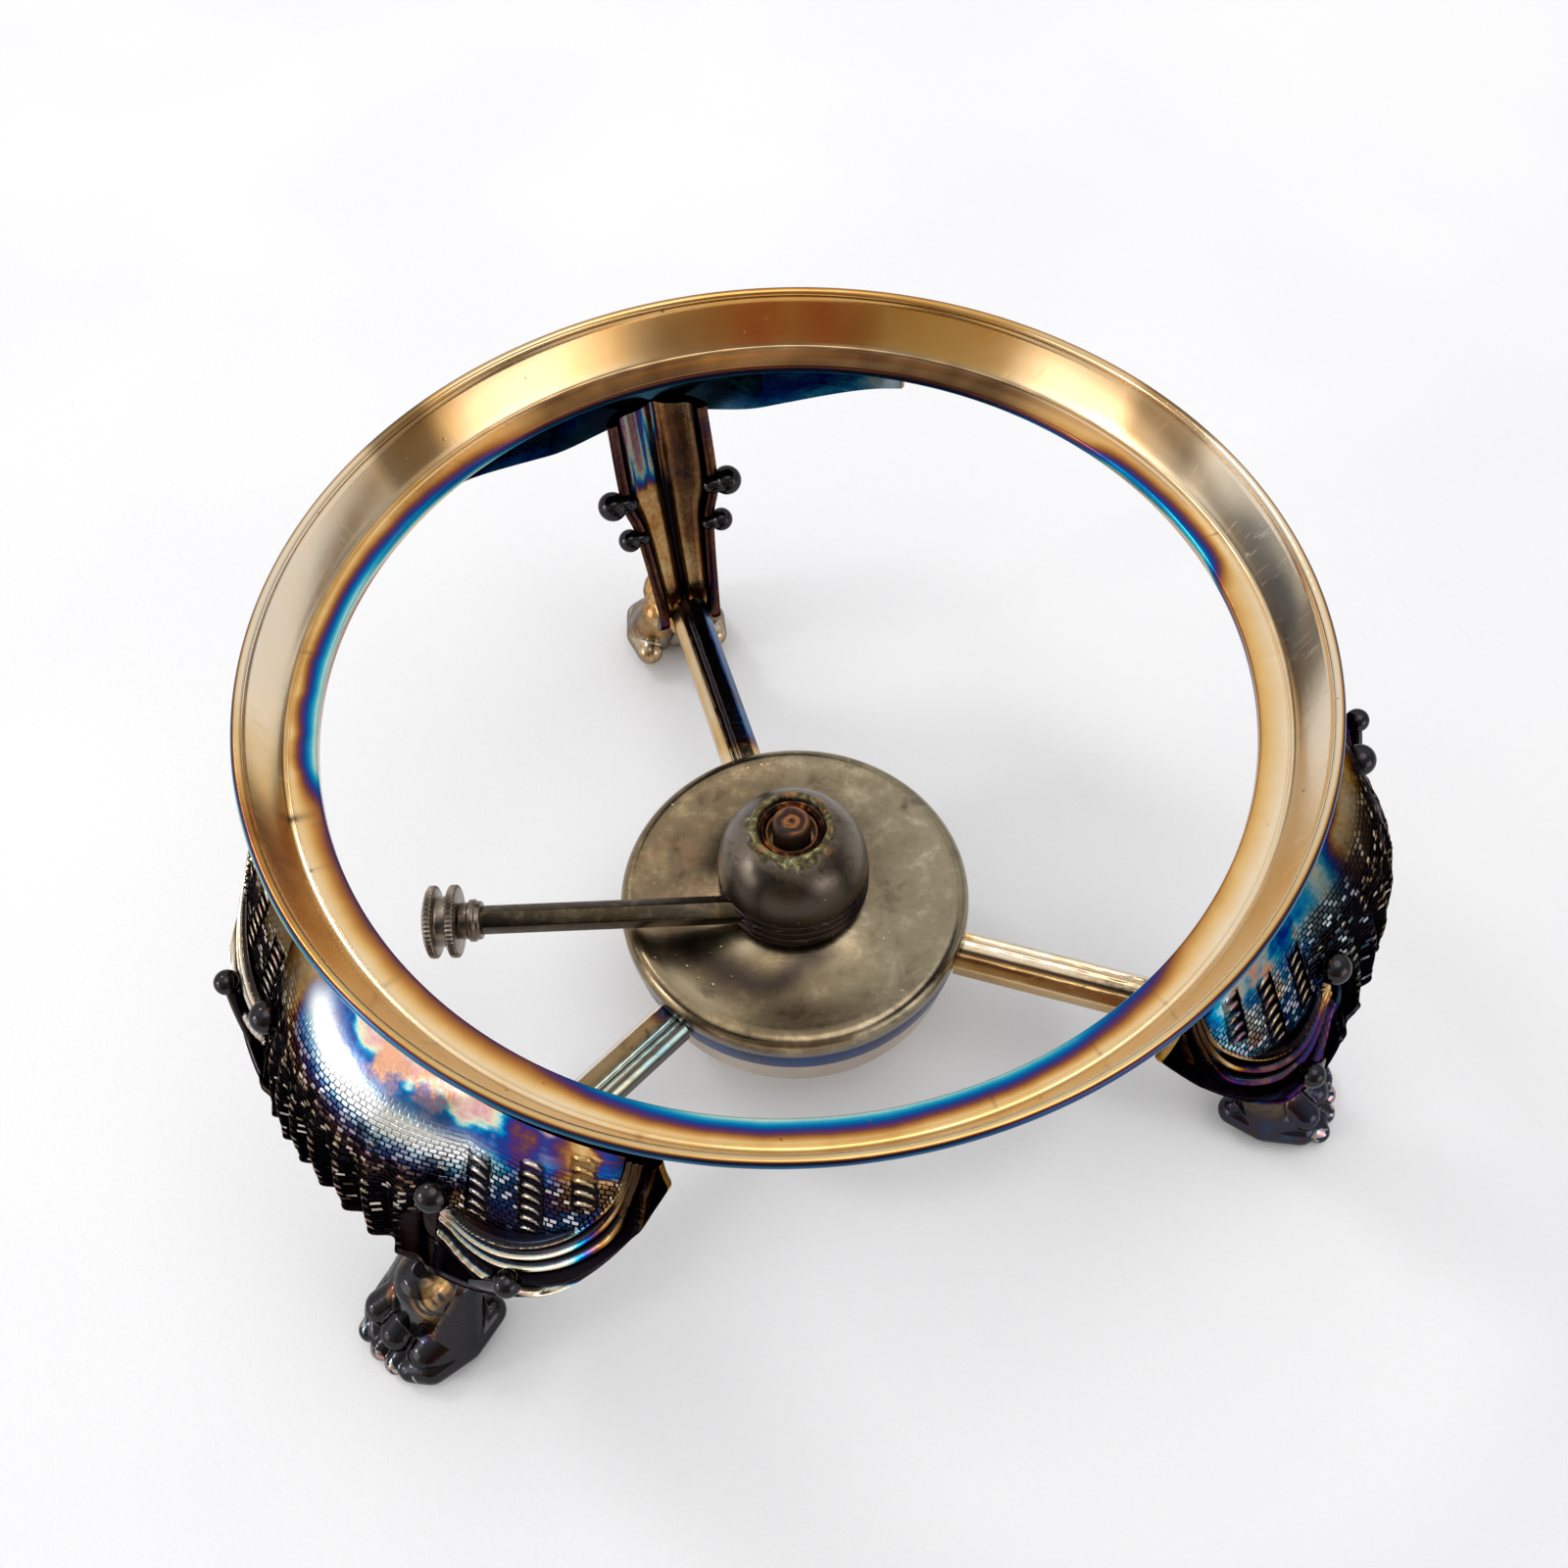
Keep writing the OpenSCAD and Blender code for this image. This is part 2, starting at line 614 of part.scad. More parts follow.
module handle_tube() {
  color("darkslategray")
    difference() {
      along_handle(-collar_r + 6) rotate([0, 0, 30])
        cylinder(d = handle_af / cos(30), h = handle_reach - collar_r + 6, $fn = 6);
      along_handle(0) cylinder(d = spindle_d + 2 * fit, h = handle_reach + 1, $fn = 32);
      translate([0, 0, head_z - 2]) cylinder(r = collar_seat_r + seat_gap, h = collar_h + 4, $fn = 96);
    }
}

module spindle_bush() {
  color("peru")
    difference() {
      intersection() {
        along_handle(0) cylinder(d = bush_d - 2 * seat_gap / 3, h = collar_seat_r, $fn = 32);
        translate([0, 0, head_z - 2])
          difference() {
            cylinder(r = collar_seat_r, h = collar_h + 4, $fn = 96);
            translate([0, 0, -1]) cylinder(r = collar_r - collar_wall - 1, h = collar_h + 6, $fn = 96);
          }
      }
      along_handle(0) cylinder(d = spindle_d + 2 * fit, h = handle_reach + 1, $fn = 32);
    }
}

module handle_ferrule() {
  color("gray")
    difference() {
      along_handle(-handle_reach) cylinder(d = ferrule_d, h = ferrule_l, $fn = 48);
      along_handle(-handle_reach + 1) cylinder(d = spindle_d + 2 * fit, h = ferrule_l + 2, $fn = 32);
    }
}

knob_x = -(handle_reach + ferrule_l + 0.2);  // inner face of the knob
knob_l = 2 * flange_t + flange_gap;

module spindle() {
  color("silver")
    along_handle(pinion_w / 2 + 1) cylinder(d = spindle_d, h = pinion_w / 2 + 1 - knob_x + knob_l - 1, $fn = 32);
}

// Straight-sided teeth, thin enough to run with backlash.
module tooth_profile(root) {
  polygon([
    [-tooth_module * 0.85, -root], [-tooth_module * 0.3, tooth_module * 0.85],
    [tooth_module * 0.3, tooth_module * 0.85], [tooth_module * 0.85, -root]
  ]);
}

module pinion() {
  color("gold")
    translate([-pinion_w / 2, spindle_y, spindle_z])
      rotate([90, 0, 90])
        difference() {
          union() {
            cylinder(r = pitch_r - tooth_module, h = pinion_w, $fn = 40);
            for (i = [0 : pinion_teeth - 1])
              rotate(i * 360 / pinion_teeth)
                translate([pitch_r, 0, 0]) rotate(-90)
                  linear_extrude(pinion_w) tooth_profile(tooth_module * 1.4);
          }
          translate([0, 0, -1]) cylinder(d = spindle_d, h = pinion_w + 2, $fn = 32);
        }
}

module knurled_flange() {
  difference() {
    cylinder(d = knob_d, h = flange_t, $fn = 96);
    for (i = [0 : knurl_count - 1])
      rotate(i * 360 / knurl_count)
        translate([knob_d / 2, 0, -1]) rotate(45) cube([0.5, 0.5, 2 * flange_t + 4], center = true);
  }
}

module regulator_knob() {
  dome_h = 1.2;  // the outer end is slightly domed
  dome_sphere_r = (pow(knob_d / 2 - 0.8, 2) + dome_h * dome_h) / (2 * dome_h);
  color("gray")
    along_handle(knob_x)
      difference() {
        union() {
          knurled_flange();
          cylinder(d = knob_d * 0.7, h = knob_l, $fn = 64);
          translate([0, 0, flange_t + flange_gap]) knurled_flange();
          intersection() {
            translate([0, 0, knob_l - dome_sphere_r + dome_h]) sphere(r = dome_sphere_r, $fn = 96);
            translate([0, 0, knob_l - 0.5]) cylinder(d = knob_d, h = dome_h + 1, $fn = 64);
          }
        }
        translate([0, 0, -1]) cylinder(d = spindle_d, h = knob_l, $fn = 32);
        translate([0, 0, flange_t + flange_gap / 2]) rotate([90, 0, 0]) cylinder(d = pin_d, h = knob_d, $fn = 24);
      }
}

pin_d = 1.2;
module knob_pin() {
  color("silver")
    along_handle(knob_x - flange_t - flange_gap / 2)
      rotate([90, 0, 0])
        translate([0, 0, spindle_d / 2 + 0.02]) cylinder(d = pin_d, h = knob_d * 0.35 - spindle_d / 2 - 0.3, $fn = 24);
}

rack_low = wick_up + 1.5 * tooth_pitch;  // below the spindle, at rest
rack_high = wick_down + 1.5 * tooth_pitch;  // above it

module wick_carrier() {
  carrier_base_z = tube_base_z + wick_down + 2;
  carrier_top_z = tube_top_z - wick_up - 1;
  first = -floor(rack_low / tooth_pitch);
  last = floor(rack_high / tooth_pitch);
  color("gold")
    difference() {
      union() {
        translate([0, 0, carrier_base_z]) cylinder(r = carrier_out_r, h = carrier_top_z - carrier_base_z, $fn = 48);
        translate([-rack_w / 2, rack_root_y, spindle_z - rack_low]) cube([rack_w, 2, rack_low + rack_high]);
        for (i = [first : last - 1])
          translate([-rack_w / 2, rack_pitch_y, spindle_z + tooth_pitch * (i + 0.5)])
            rotate([90, 0, 90]) linear_extrude(rack_w) rotate(90) tooth_profile(tooth_module * 1.3);
      }
      translate([0, 0, carrier_base_z - 1]) cylinder(r = carrier_in_r, h = carrier_top_z - carrier_base_z + 2, $fn = 48);
    }
}

module wick() {
  base_z = pan_base_z + font_wall + wick_down + 1;
  color("sienna")
    rotate_extrude($fn = 48)
      polygon([
        [0, base_z], [wick_r, base_z], [wick_r, wick_top_z - 1.5],
        [wick_r - 0.8, wick_top_z - 0.4], [0, wick_top_z]
      ]);
}

support_ring();
leg(1);  // leg_1
leg(2);  // leg_2
leg(3);  // leg_3
arm(1);  // arm_1
arm(2);  // arm_2
arm(3);  // arm_3
holder_ring();
font_pan();
font_cover();
font_neck();
neck_gasket();
wadding();
head_collar();
dome();
wick_tube();
handle_tube();
handle_ferrule();
spindle_bush();
spindle();
pinion();
regulator_knob();
knob_pin();
wick_carrier();
wick();
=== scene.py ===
"""Dressed scene of a tripod kettle stand with a lift-out spirit burner.

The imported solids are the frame. Finer meshes of the same forms stand for the
visible ones, and every surface has a procedural finish: silver plate that heat
has tinted, dark cast legs, pewter sheet, verdigris and a charred wick.
Sizes and points are in millimetres until a mesh is made from them in metres.
"""
import math

import bpy
import numpy as np
from mathutils import Matrix, Vector


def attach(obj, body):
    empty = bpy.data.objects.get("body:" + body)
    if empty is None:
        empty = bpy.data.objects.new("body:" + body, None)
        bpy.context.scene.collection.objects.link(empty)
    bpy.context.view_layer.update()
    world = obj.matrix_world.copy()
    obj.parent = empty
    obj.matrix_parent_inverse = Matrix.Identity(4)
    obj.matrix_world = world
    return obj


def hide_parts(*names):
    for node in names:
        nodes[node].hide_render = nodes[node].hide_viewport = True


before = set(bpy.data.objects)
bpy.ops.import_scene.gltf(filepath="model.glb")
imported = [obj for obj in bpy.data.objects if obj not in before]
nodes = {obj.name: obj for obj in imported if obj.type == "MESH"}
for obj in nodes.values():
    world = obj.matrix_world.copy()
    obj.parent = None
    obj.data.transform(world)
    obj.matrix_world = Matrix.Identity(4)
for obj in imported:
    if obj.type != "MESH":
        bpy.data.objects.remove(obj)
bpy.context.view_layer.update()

METRE = 0.001
TURN = 2 * math.pi

# ---- sizes, in millimetres ---------------------------------------------------
# support ring; its seat's middle is at height 0
ring_r = 95.0
seat_r = 83.2
seat_half_h = 1.0
crease_r = 89.0
crease_z = 1.6
rim_z = 12.0
bead_r = 1.0
ring_wall = 1.5

# legs: where each points in degrees, then the shell, its ears and drops
stand_h = 125.0
floor_z = rim_z - stand_h
leg_dirs = {"leg_1": 224.0, "leg_2": 341.0, "leg_3": 105.0}
shell_half_angle = 32.8
shell_reach = 112.2
shell_drop = 35.5
lip_rise = 4.5
ear_end_r = 92.5
ear_end_drop = 9.5
# powers that shape the lip from the middle lobe to the ear's end
ear_turn_in = 4.6
ear_turn_up = 2.9
shell_wall = 2.0
shell_bulge = 6.6
ear_bulge = 0.4
flute_count = 9
flute_depth = 1.2
ear_ball_d = 6.0
ear_ball_angle = 12.2
ear_ball_share = 0.5
drop_ball_d = 4.6
drop_angle = 20.4
drop_r = 109.5
drop_depth = 23.0
# shank, with its beads as (radius from the axis, depth, diameter), and paw
shank_top_w = 24.0
bead_upper = (99.0, 47.0, 7.0)
bead_lower = (97.0, 57.5, 5.6)
ankle_drop = 81.0
ankle_w = 16.0
ankle_r = 90.5
shank_wall = 2.5
paw_w = 27.5
paw_side = 1.0
paw_reach = 125.0

# arms and the ring that holds the burner
arm_w = 9.4
arm_h = 5.6
holder_h = 6.6
holder_wall = 1.1
holder_gap = 0.4

# font: pan, cover and neck
font_top = -72.0
pan_r = 35.5
font_h = 25.0
pan_corner = 5.0
font_wall = 0.8
cover_lip = 2.5
cover_shoulder = 3.0
cover_dish = 1.3
cover_rim_h = 5.5
neck_bore_r = 11.0
neck_wall = 1.4
flange_t_neck = 0.8
gasket_t = 0.8

# burner head and wick
dome_r = 16.0
dome_mouth_r = 7.2
dome_wall = 1.0
collar_h = 8.5
rib_count = 3
wick_r = 4.0
tube_wall = 0.7
wick_proud = 2.6

# handle, with its width across the flats, and knob
handle_af = 5.4
handle_reach = 66.0
spindle_y = -8.66
ferrule_d = 9.0
ferrule_l = 4.6
knob_d = 15.4
flange_t = 1.9
flange_gap = 2.6
knurl_count = 48

# sizes that follow from those
cover_r = pan_r + cover_lip
holder_top = font_top - cover_rim_h
arm_top = holder_top - 0.8
holder_in_r = pan_r + holder_gap
holder_out_r = holder_in_r + holder_wall
arm_end_r = ankle_r + 2.1
head_z = font_top + flange_t_neck + gasket_t
dome_z = head_z + collar_h
spindle_z = head_z + 4.6
paw_top = arm_top - arm_h - 0.3
cover_base = font_top - cover_dish - font_wall - 0.3
neck_out_r = neck_bore_r + neck_wall
flange_r = neck_out_r + 2
plug_l = 6.0
plug_z = head_z - gasket_t - flange_t_neck - plug_l
collar_r = dome_r - 0.7
mouth_h = math.sqrt(dome_r**2 - dome_mouth_r**2)
tube_top = dome_z + mouth_h - 2
wick_top = tube_top + 2 + wick_proud
knob_r = knob_d / 2


# ---- small maths -------------------------------------------------------------
def lerp(a, b, t):
    """The value a share t of the way from a to b."""
    return a + (b - a) * t


def ease(x):
    """0 below 0, 1 above 1, smooth between."""
    x = np.clip(x, 0.0, 1.0)
    return x * x * (3 - 2 * x)


def zone(x, start, end):
    """0 before start, 1 after end, smooth between; start may be the larger."""
    return ease((x - start) / (end - start))


def bell(x, middle, width):
    """1 at the middle, and close to 0 two widths away from it."""
    return np.exp(-(((x - middle) / width) ** 2))


def wave_noise(u, v, seed, octaves=3):
    """Smooth repeatable noise of two running values, roughly -1 to 1."""
    rng = np.random.default_rng(seed)
    total = np.zeros(np.broadcast(u, v).shape)
    size = 1.0
    for _ in range(octaves):
        for _ in range(4):
            a, b = rng.normal(size=2)
            phase = rng.uniform(0, TURN)
            total = total + size * np.sin((a * u + b * v) / size + phase) / 4
        size *= 0.5
    return total


def rounded(corners, steps=5):
    """An outline with its corners rounded; a corner is (x, y, radius)."""
    pts = []
    n = len(corners)
    for i, (x, y, r) in enumerate(corners):
        here = np.array([x, y], float)
        if r <= 0:
            pts.append(here)
            continue
        before = np.array(corners[i - 1][:2], float) - here
        after = np.array(corners[(i + 1) % n][:2], float) - here
        near = here + before / np.linalg.norm(before) * r
        far = here + after / np.linalg.norm(after) * r
        for k in range(steps + 1):
            t = k / steps
            pts.append((1 - t) ** 2 * near + 2 * t * (1 - t) * here + t * t * far)
    return np.array(pts)


def arc(cx, cy, r, a0, a1, n):
    """Points of an arc from angle a0 to a1, in degrees."""
    a = np.radians(np.linspace(a0, a1, n))
    return np.stack([cx + r * np.cos(a), cy + r * np.sin(a)], 1)


def spline_sections(ctrl, steps):
    """A smooth run through the control rows, with steps rows from each to the next."""
    out = []
    n = len(ctrl) - 1
    for i in range(n):
        a, b, c, d = ctrl[max(0, i - 1)], ctrl[i], ctrl[i + 1], ctrl[min(n, i + 2)]
        for k in range(steps):
            t = k / steps
            out.append(b + 0.5 * t * (c - a + t * (2 * a - 5 * b + 4 * c - d + t * (3 * (b - c) + d - a))))
    out.append(ctrl[-1])
    return np.array(out)


# ---- mesh building -----------------------------------------------------------
class Form:
    """Points in millimetres, faces and per-point marks, gathered piece by piece."""

    def __init__(self):
        self.points = []
        self.faces = []
        self.marks = {}
        self.uv = []
        self.count = 0

    def add(self, points, faces, uv=None, **marks):
        """Takes points and faces in; a mark that isn't given is 0 there."""
        points = np.asarray(points, float).reshape(-1, 3)
        n = len(points)
        self.points.append(points)
        self.faces += [tuple(int(i) + self.count for i in f) for f in faces]
        self.uv.append(np.zeros((n, 2)) if uv is None else np.asarray(uv, float).reshape(-1, 2))
        for key in sorted(set(self.marks) | set(marks)):
            held = self.marks.setdefault(key, [np.zeros(self.count)] if self.count else [])
            held.append(np.broadcast_to(np.asarray(marks.get(key, 0.0), float).ravel(), (n,)))
        self.count += n

    def grid(self, rows, around=False, closed=False, flip=False, uv=None, **marks):
        """A sheet of points (rows, columns, 3); around joins its columns in a loop and closed its rows."""
        rows = np.asarray(rows, float)
        nr, nc = rows.shape[:2]
        cols = nc if around else nc - 1
        lines = nr if closed else nr - 1
        faces = []
        for i in range(lines):
            a, b = i * nc, ((i + 1) % nr) * nc
            for j in range(cols):
                k = (j + 1) % nc
                f = (a + j, a + k, b + k, b + j)
                faces.append(f[::-1] if flip else f)
        flat = {k: np.broadcast_to(v, (nr, nc)) for k, v in marks.items()}
        self.add(rows, faces, uv, **flat)

    def ball(self, centre, radius, squash=(1, 1, 1), rings=14, sides=24, **marks):
        """A closed ball of rings and sides, squashed along the axes if asked."""
        lat = np.linspace(-math.pi / 2, math.pi / 2, rings + 2)[1:-1]
        lon = np.linspace(0, TURN, sides, endpoint=False)
        pts = [[0, 0, -1.0]]
        pts += [[math.cos(a) * math.cos(b), math.cos(a) * math.sin(b), math.sin(a)] for a in lat for b in lon]
        pts += [[0, 0, 1.0]]
        faces = []
        for j in range(sides):
            k = (j + 1) % sides
            faces.append((0, 1 + k, 1 + j))
            last = 1 + (rings - 1) * sides
            faces.append((last + j, last + k, 1 + rings * sides))
            for i in range(rings - 1):
                a, b = 1 + i * sides, 1 + (i + 1) * sides
                faces.append((a + j, a + k, b + k, b + j))
        pts = np.array(pts) * radius * np.array(squash) + np.array(centre)
        self.add(pts, faces, **marks)

    def piece(self, name, body, material, stands_for=(), turn=None, sharp=None):
        """Makes the object, rides it on its body and hides the solids that it stands for."""
        pts = np.concatenate(self.points)
        if turn is not None:
            pts = pts @ np.array(turn).T
        mesh = bpy.data.meshes.new(name)
        mesh.from_pydata((pts * METRE).tolist(), [], self.faces)
        for key, values in self.marks.items():
            data = mesh.attributes.new(key, "FLOAT", "POINT")
            data.data.foreach_set("value", np.concatenate(values).astype(np.float32))
        layer = mesh.uv_layers.new(name="UVMap")
        corner = np.zeros(len(mesh.loops), np.int32)
        mesh.loops.foreach_get("vertex_index", corner)
        layer.data.foreach_set("uv", np.concatenate(self.uv)[corner].astype(np.float32).ravel())
        mesh.shade_smooth()
        if sharp:
            mesh.set_sharp_from_angle(angle=math.radians(sharp))
        mesh.validate()
        obj = bpy.data.objects.new(name, mesh)
        bpy.context.scene.collection.objects.link(obj)
        mesh.materials.append(material)
        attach(obj, body)
        if stands_for:
            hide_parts(*stands_for)
        return obj


def lathe(form, profile, sides=180, shape=None, axis=None, open_ends=False, **marks):
    """Turns a (radius, height) outline round +Z or a given axis; shape moves the points that result."""
    profile = np.asarray(profile, float)
    angle = np.linspace(0, TURN, sides, endpoint=False)
    r = np.repeat(profile[:, :1], sides, 1)
    z = np.repeat(profile[:, 1:], sides, 1)
    if shape:
        r, z = shape(r, z, angle[None, :])
    rows = np.stack([r * np.cos(angle), r * np.sin(angle), z], 2)
    if axis is not None:
        rows = rows @ np.array(axis[0]).T + np.array(axis[1])
    for key, value in marks.items():
        if callable(value):
            marks[key] = value(r, z, angle[None, :])
    form.grid(rows, around=True, closed=not open_ends, **marks)


def turned(angle_deg):
    """Rotation round +Z."""
    c, s = math.cos(math.radians(angle_deg)), math.sin(math.radians(angle_deg))
    return np.array([[c, -s, 0], [s, c, 0], [0, 0, 1]])


# ---- finishes ----------------------------------------------------------------
class Net:
    """Adds nodes to a tree and links what is passed as an input."""

    def __init__(self, tree):
        self.tree = tree

    def add(self, kind, inputs=None, **settings):
        """A node; an input that is a socket is linked and any other is set."""
        node = self.tree.nodes.new(kind)
        for key, value in settings.items():
            setattr(node, key, value)
        for key, value in (inputs or {}).items():
            socket = node.inputs[key]
            if isinstance(value, bpy.types.NodeSocket):
                self.tree.links.new(value, socket)
            else:
                socket.default_value = value
        return node

    def maths(self, operation, a, b=0.0, c=None, clamp=False):
        """The result of a Math node."""
        values = {0: a, 1: b}
        if c is not None:
            values[2] = c
        return self.add("ShaderNodeMath", values, operation=operation, use_clamp=clamp).outputs[0]

    def ramp(self, fac, stops, interpolation="EASE"):
        """Colours or greys by place along fac."""
        node = self.add("ShaderNodeValToRGB", {"Fac": fac})
        node.color_ramp.interpolation = interpolation
        while len(node.color_ramp.elements) > 1:
            node.color_ramp.elements.remove(node.color_ramp.elements[0])
        for i, (where, colour) in enumerate(stops):
            if i == 0:
                element = node.color_ramp.elements[0]
                element.position = where
            else:
                element = node.color_ramp.elements.new(where)
            if isinstance(colour, (int, float)):
                colour = (colour, colour, colour)
            element.color = (*colour, 1.0)
        return node.outputs["Color"]

    def mix(self, fac, a, b, blend="MIX"):
        """Colour a turned into colour b by fac."""
        node = self.add("ShaderNodeMix", data_type="RGBA", blend_type=blend)
        for key, value in ((0, fac), (6, a), (7, b)):
            if isinstance(value, bpy.types.NodeSocket):
                self.tree.links.new(value, node.inputs[key])
            elif key == 0:
                node.inputs[key].default_value = value
            else:
                node.inputs[key].default_value = (*value, 1.0)
        return node.outputs[2]

    def noise(self, scale, detail=4.0, rough=0.55, warp=0.0, vector=None):
        """Cloudy noise; scale counts the clouds in a metre."""
        inputs = {"Scale": scale, "Detail": detail, "Roughness": rough, "Distortion": warp}
        if vector is None:
            vector = self.add("ShaderNodeTexCoord").outputs["Object"]
        inputs["Vector"] = vector
        return self.add("ShaderNodeTexNoise", inputs).outputs["Fac"]

    def mark(self, name):
        """A value that the mesh carries at each point."""
        return self.add("ShaderNodeAttribute", attribute_name=name).outputs["Fac"]


def effect(name, inputs, outputs):
    """An empty node group with named sockets; returns the group, its net, its inputs and its end."""
    group = bpy.data.node_groups.new(name, "ShaderNodeTree")
    for label, value in inputs.items():
        socket = group.interface.new_socket(label, in_out="INPUT", socket_type="NodeSocketFloat")
        socket.default_value = value
    for label, kind in outputs.items():
        group.interface.new_socket(label, in_out="OUTPUT", socket_type=kind)
    net = Net(group)
    start = net.add("NodeGroupInput")
    end = net.add("NodeGroupOutput")
    return group, net, start.outputs, end


FLOAT = "NodeSocketFloat"
COLOUR = "NodeSocketColor"


def heat_tint():
    """Colours of a thin film on plate: cream, gold, brown, violet, blue, cyan, pale, pink, teal."""
    group, net, ins, end = effect(
        "heat_tint", {"Film": 0.0, "Patch size": 90.0, "Patch depth": 0.1, "Grain depth": 0.03},
        {"Colour": COLOUR},
    )
    patch = net.maths("SUBTRACT", net.noise(ins["Patch size"], 3.0, 0.5, 0.6), 0.5)
    grain = net.maths("SUBTRACT", net.noise(900.0, 2.0, 0.6), 0.5)
    film = net.maths("MULTIPLY_ADD", patch, ins["Patch depth"], ins["Film"])
    film = net.maths("MULTIPLY_ADD", grain, ins["Grain depth"], film)
    thickest_film = 1.5
    share = net.maths("DIVIDE", film, thickest_film, clamp=True)
    stops = [
        (0.00, (0.74, 0.69, 0.64)),
        (0.08, (0.84, 0.70, 0.53)),
        (0.18, (0.76, 0.50, 0.21)),
        (0.27, (0.46, 0.20, 0.05)),
        (0.345, (0.17, 0.06, 0.05)),
        (0.41, (0.08, 0.03, 0.15)),
        (0.475, (0.01, 0.05, 0.27)),
        (0.55, (0.0, 0.17, 0.46)),
        (0.615, (0.03, 0.38, 0.58)),
        (0.67, (0.40, 0.66, 0.68)),
        (0.74, (0.80, 0.76, 0.52)),
        (0.83, (0.78, 0.40, 0.42)),
        (0.91, (0.40, 0.16, 0.42)),
        (1.00, (0.05, 0.30, 0.30)),
    ]
    net.tree.links.new(net.ramp(share, stops, "LINEAR"), end.inputs["Colour"])
    return group


def worn_surface():
    """Fine scratches and specks: a mask of worn places and a height."""
    group, net, ins, end = effect(
        "worn_surface", {"Scratch size": 160.0, "Speck size": 260.0, "Speck share": 0.06},
        {"Scratch": FLOAT, "Speck": FLOAT, "Height": FLOAT},
    )
    coords = net.add("ShaderNodeTexCoord").outputs["Object"]
    stretched = net.add(
        "ShaderNodeMapping", {"Vector": coords, "Scale": (1.0, 7.0, 2.0), "Rotation": (0.3, 0.5, 0.9)}
    )
    lines = net.noise(ins["Scratch size"], 6.0, 0.7, 0.3, stretched.outputs["Vector"])
    scratch = net.ramp(lines, [(0.56, 0.0), (0.72, 1.0)])
    cells = net.add(
        "ShaderNodeTexVoronoi", {"Vector": coords, "Scale": ins["Speck size"]}, feature="F1"
    ).outputs["Distance"]
    patchy = net.ramp(net.noise(70.0, 2.0), [(0.5, 0.0), (0.62, 1.0)])
    near = net.maths("MULTIPLY", net.maths("SUBTRACT", ins["Speck share"], cells), 18.0, clamp=True)
    speck = net.maths("MULTIPLY", near, patchy)
    height = net.maths("SUBTRACT", net.maths("MULTIPLY", scratch, 0.15), speck)
    net.tree.links.new(scratch, end.inputs["Scratch"])
    net.tree.links.new(speck, end.inputs["Speck"])
    net.tree.links.new(height, end.inputs["Height"])
    return group


def grime_veil():
    """Cloudy tarnish: a mask that breaks up at its edges."""
    group, net, ins, end = effect(
        "grime_veil", {"Amount": 0.5, "Cloud size": 60.0, "Break up": 0.5}, {"Mask": FLOAT}
    )
    cloud = net.noise(ins["Cloud size"], 6.0, 0.62, 0.8)
    fine = net.noise(700.0, 3.0, 0.7)
    rough = net.maths("MULTIPLY_ADD", net.maths("SUBTRACT", fine, 0.5), ins["Break up"], cloud)
    level = net.maths("SUBTRACT", 1.0, ins["Amount"])
    mask = net.maths("MULTIPLY", net.maths("SUBTRACT", rough, level), 5.0, clamp=True)
    net.tree.links.new(mask, end.inputs["Mask"])
    return group


def chased_rows():
    """Rows of short raised dashes, laid out in millimetres by the UV map."""
    group, net, ins, end = effect(
        "chased_rows", {"Dash": 1.35, "Row": 0.96, "Gap": 0.20}, {"Height": FLOAT, "Shade": FLOAT}
    )
    uv = net.add("ShaderNodeTexCoord").outputs["UV"]
    wobble = net.add("ShaderNodeTexNoise", {"Vector": uv, "Scale": 0.35, "Detail": 2.0}).outputs["Color"]
    shift = net.add("ShaderNodeVectorMath", {0: wobble, 1: (0.9, 0.5, 0.0)}, operation="MULTIPLY").outputs[0]
    place = net.add("ShaderNodeVectorMath", {0: uv, 1: shift}, operation="ADD").outputs[0]
    brick = net.add(
        "ShaderNodeTexBrick",
        {"Vector": place, "Scale": 1.0, "Mortar Size": ins["Gap"], "Mortar Smooth": 1.0,
         "Brick Width": ins["Dash"], "Row Height": ins["Row"],
         "Color1": (0.0, 0.0, 0.0, 1.0), "Color2": (1.0, 1.0, 1.0, 1.0), "Mortar": (0.0, 0.0, 0.0, 1.0)},
        offset=0.5,
    )
    net.tree.links.new(brick.outputs["Color"], end.inputs["Shade"])
    net.tree.links.new(net.maths("SUBTRACT", 1.0, brick.outputs["Fac"]), end.inputs["Height"])
    return group


def stacked_hoops():
    """Short curved bars stacked in columns; the column mark holds millimetres from its middle."""
    group, net, ins, end = effect(
        "stacked_hoops", {"Mask": 0.0, "Column": 0.0, "Pitch": 1.9}, {"Crest": FLOAT}
    )
    down = net.add("ShaderNodeSeparateXYZ", {0: net.add("ShaderNodeTexCoord").outputs["UV"]}).outputs["Y"]
    square = net.maths("MULTIPLY", ins["Column"], ins["Column"])
    arch = -0.26
    place = net.maths("MULTIPLY_ADD", square, arch, down)
    turn = net.maths("MULTIPLY", net.maths("DIVIDE", place, ins["Pitch"]), TURN)
    wave = net.maths("MULTIPLY_ADD", net.maths("COSINE", turn), 0.5, 0.5)
    bar = net.maths("POWER", wave, 2.6)
    side = net.maths("SUBTRACT", 1.0, net.maths("MULTIPLY", square, 0.34), clamp=True)
    crest = net.maths("MULTIPLY", net.maths("MULTIPLY", bar, side), ins["Mask"])
    net.tree.links.new(crest, end.inputs["Crest"])
    return group


HEAT_TINT = heat_tint()
WORN = worn_surface()
GRIME = grime_veil()
ROWS = chased_rows()
HOOPS = stacked_hoops()


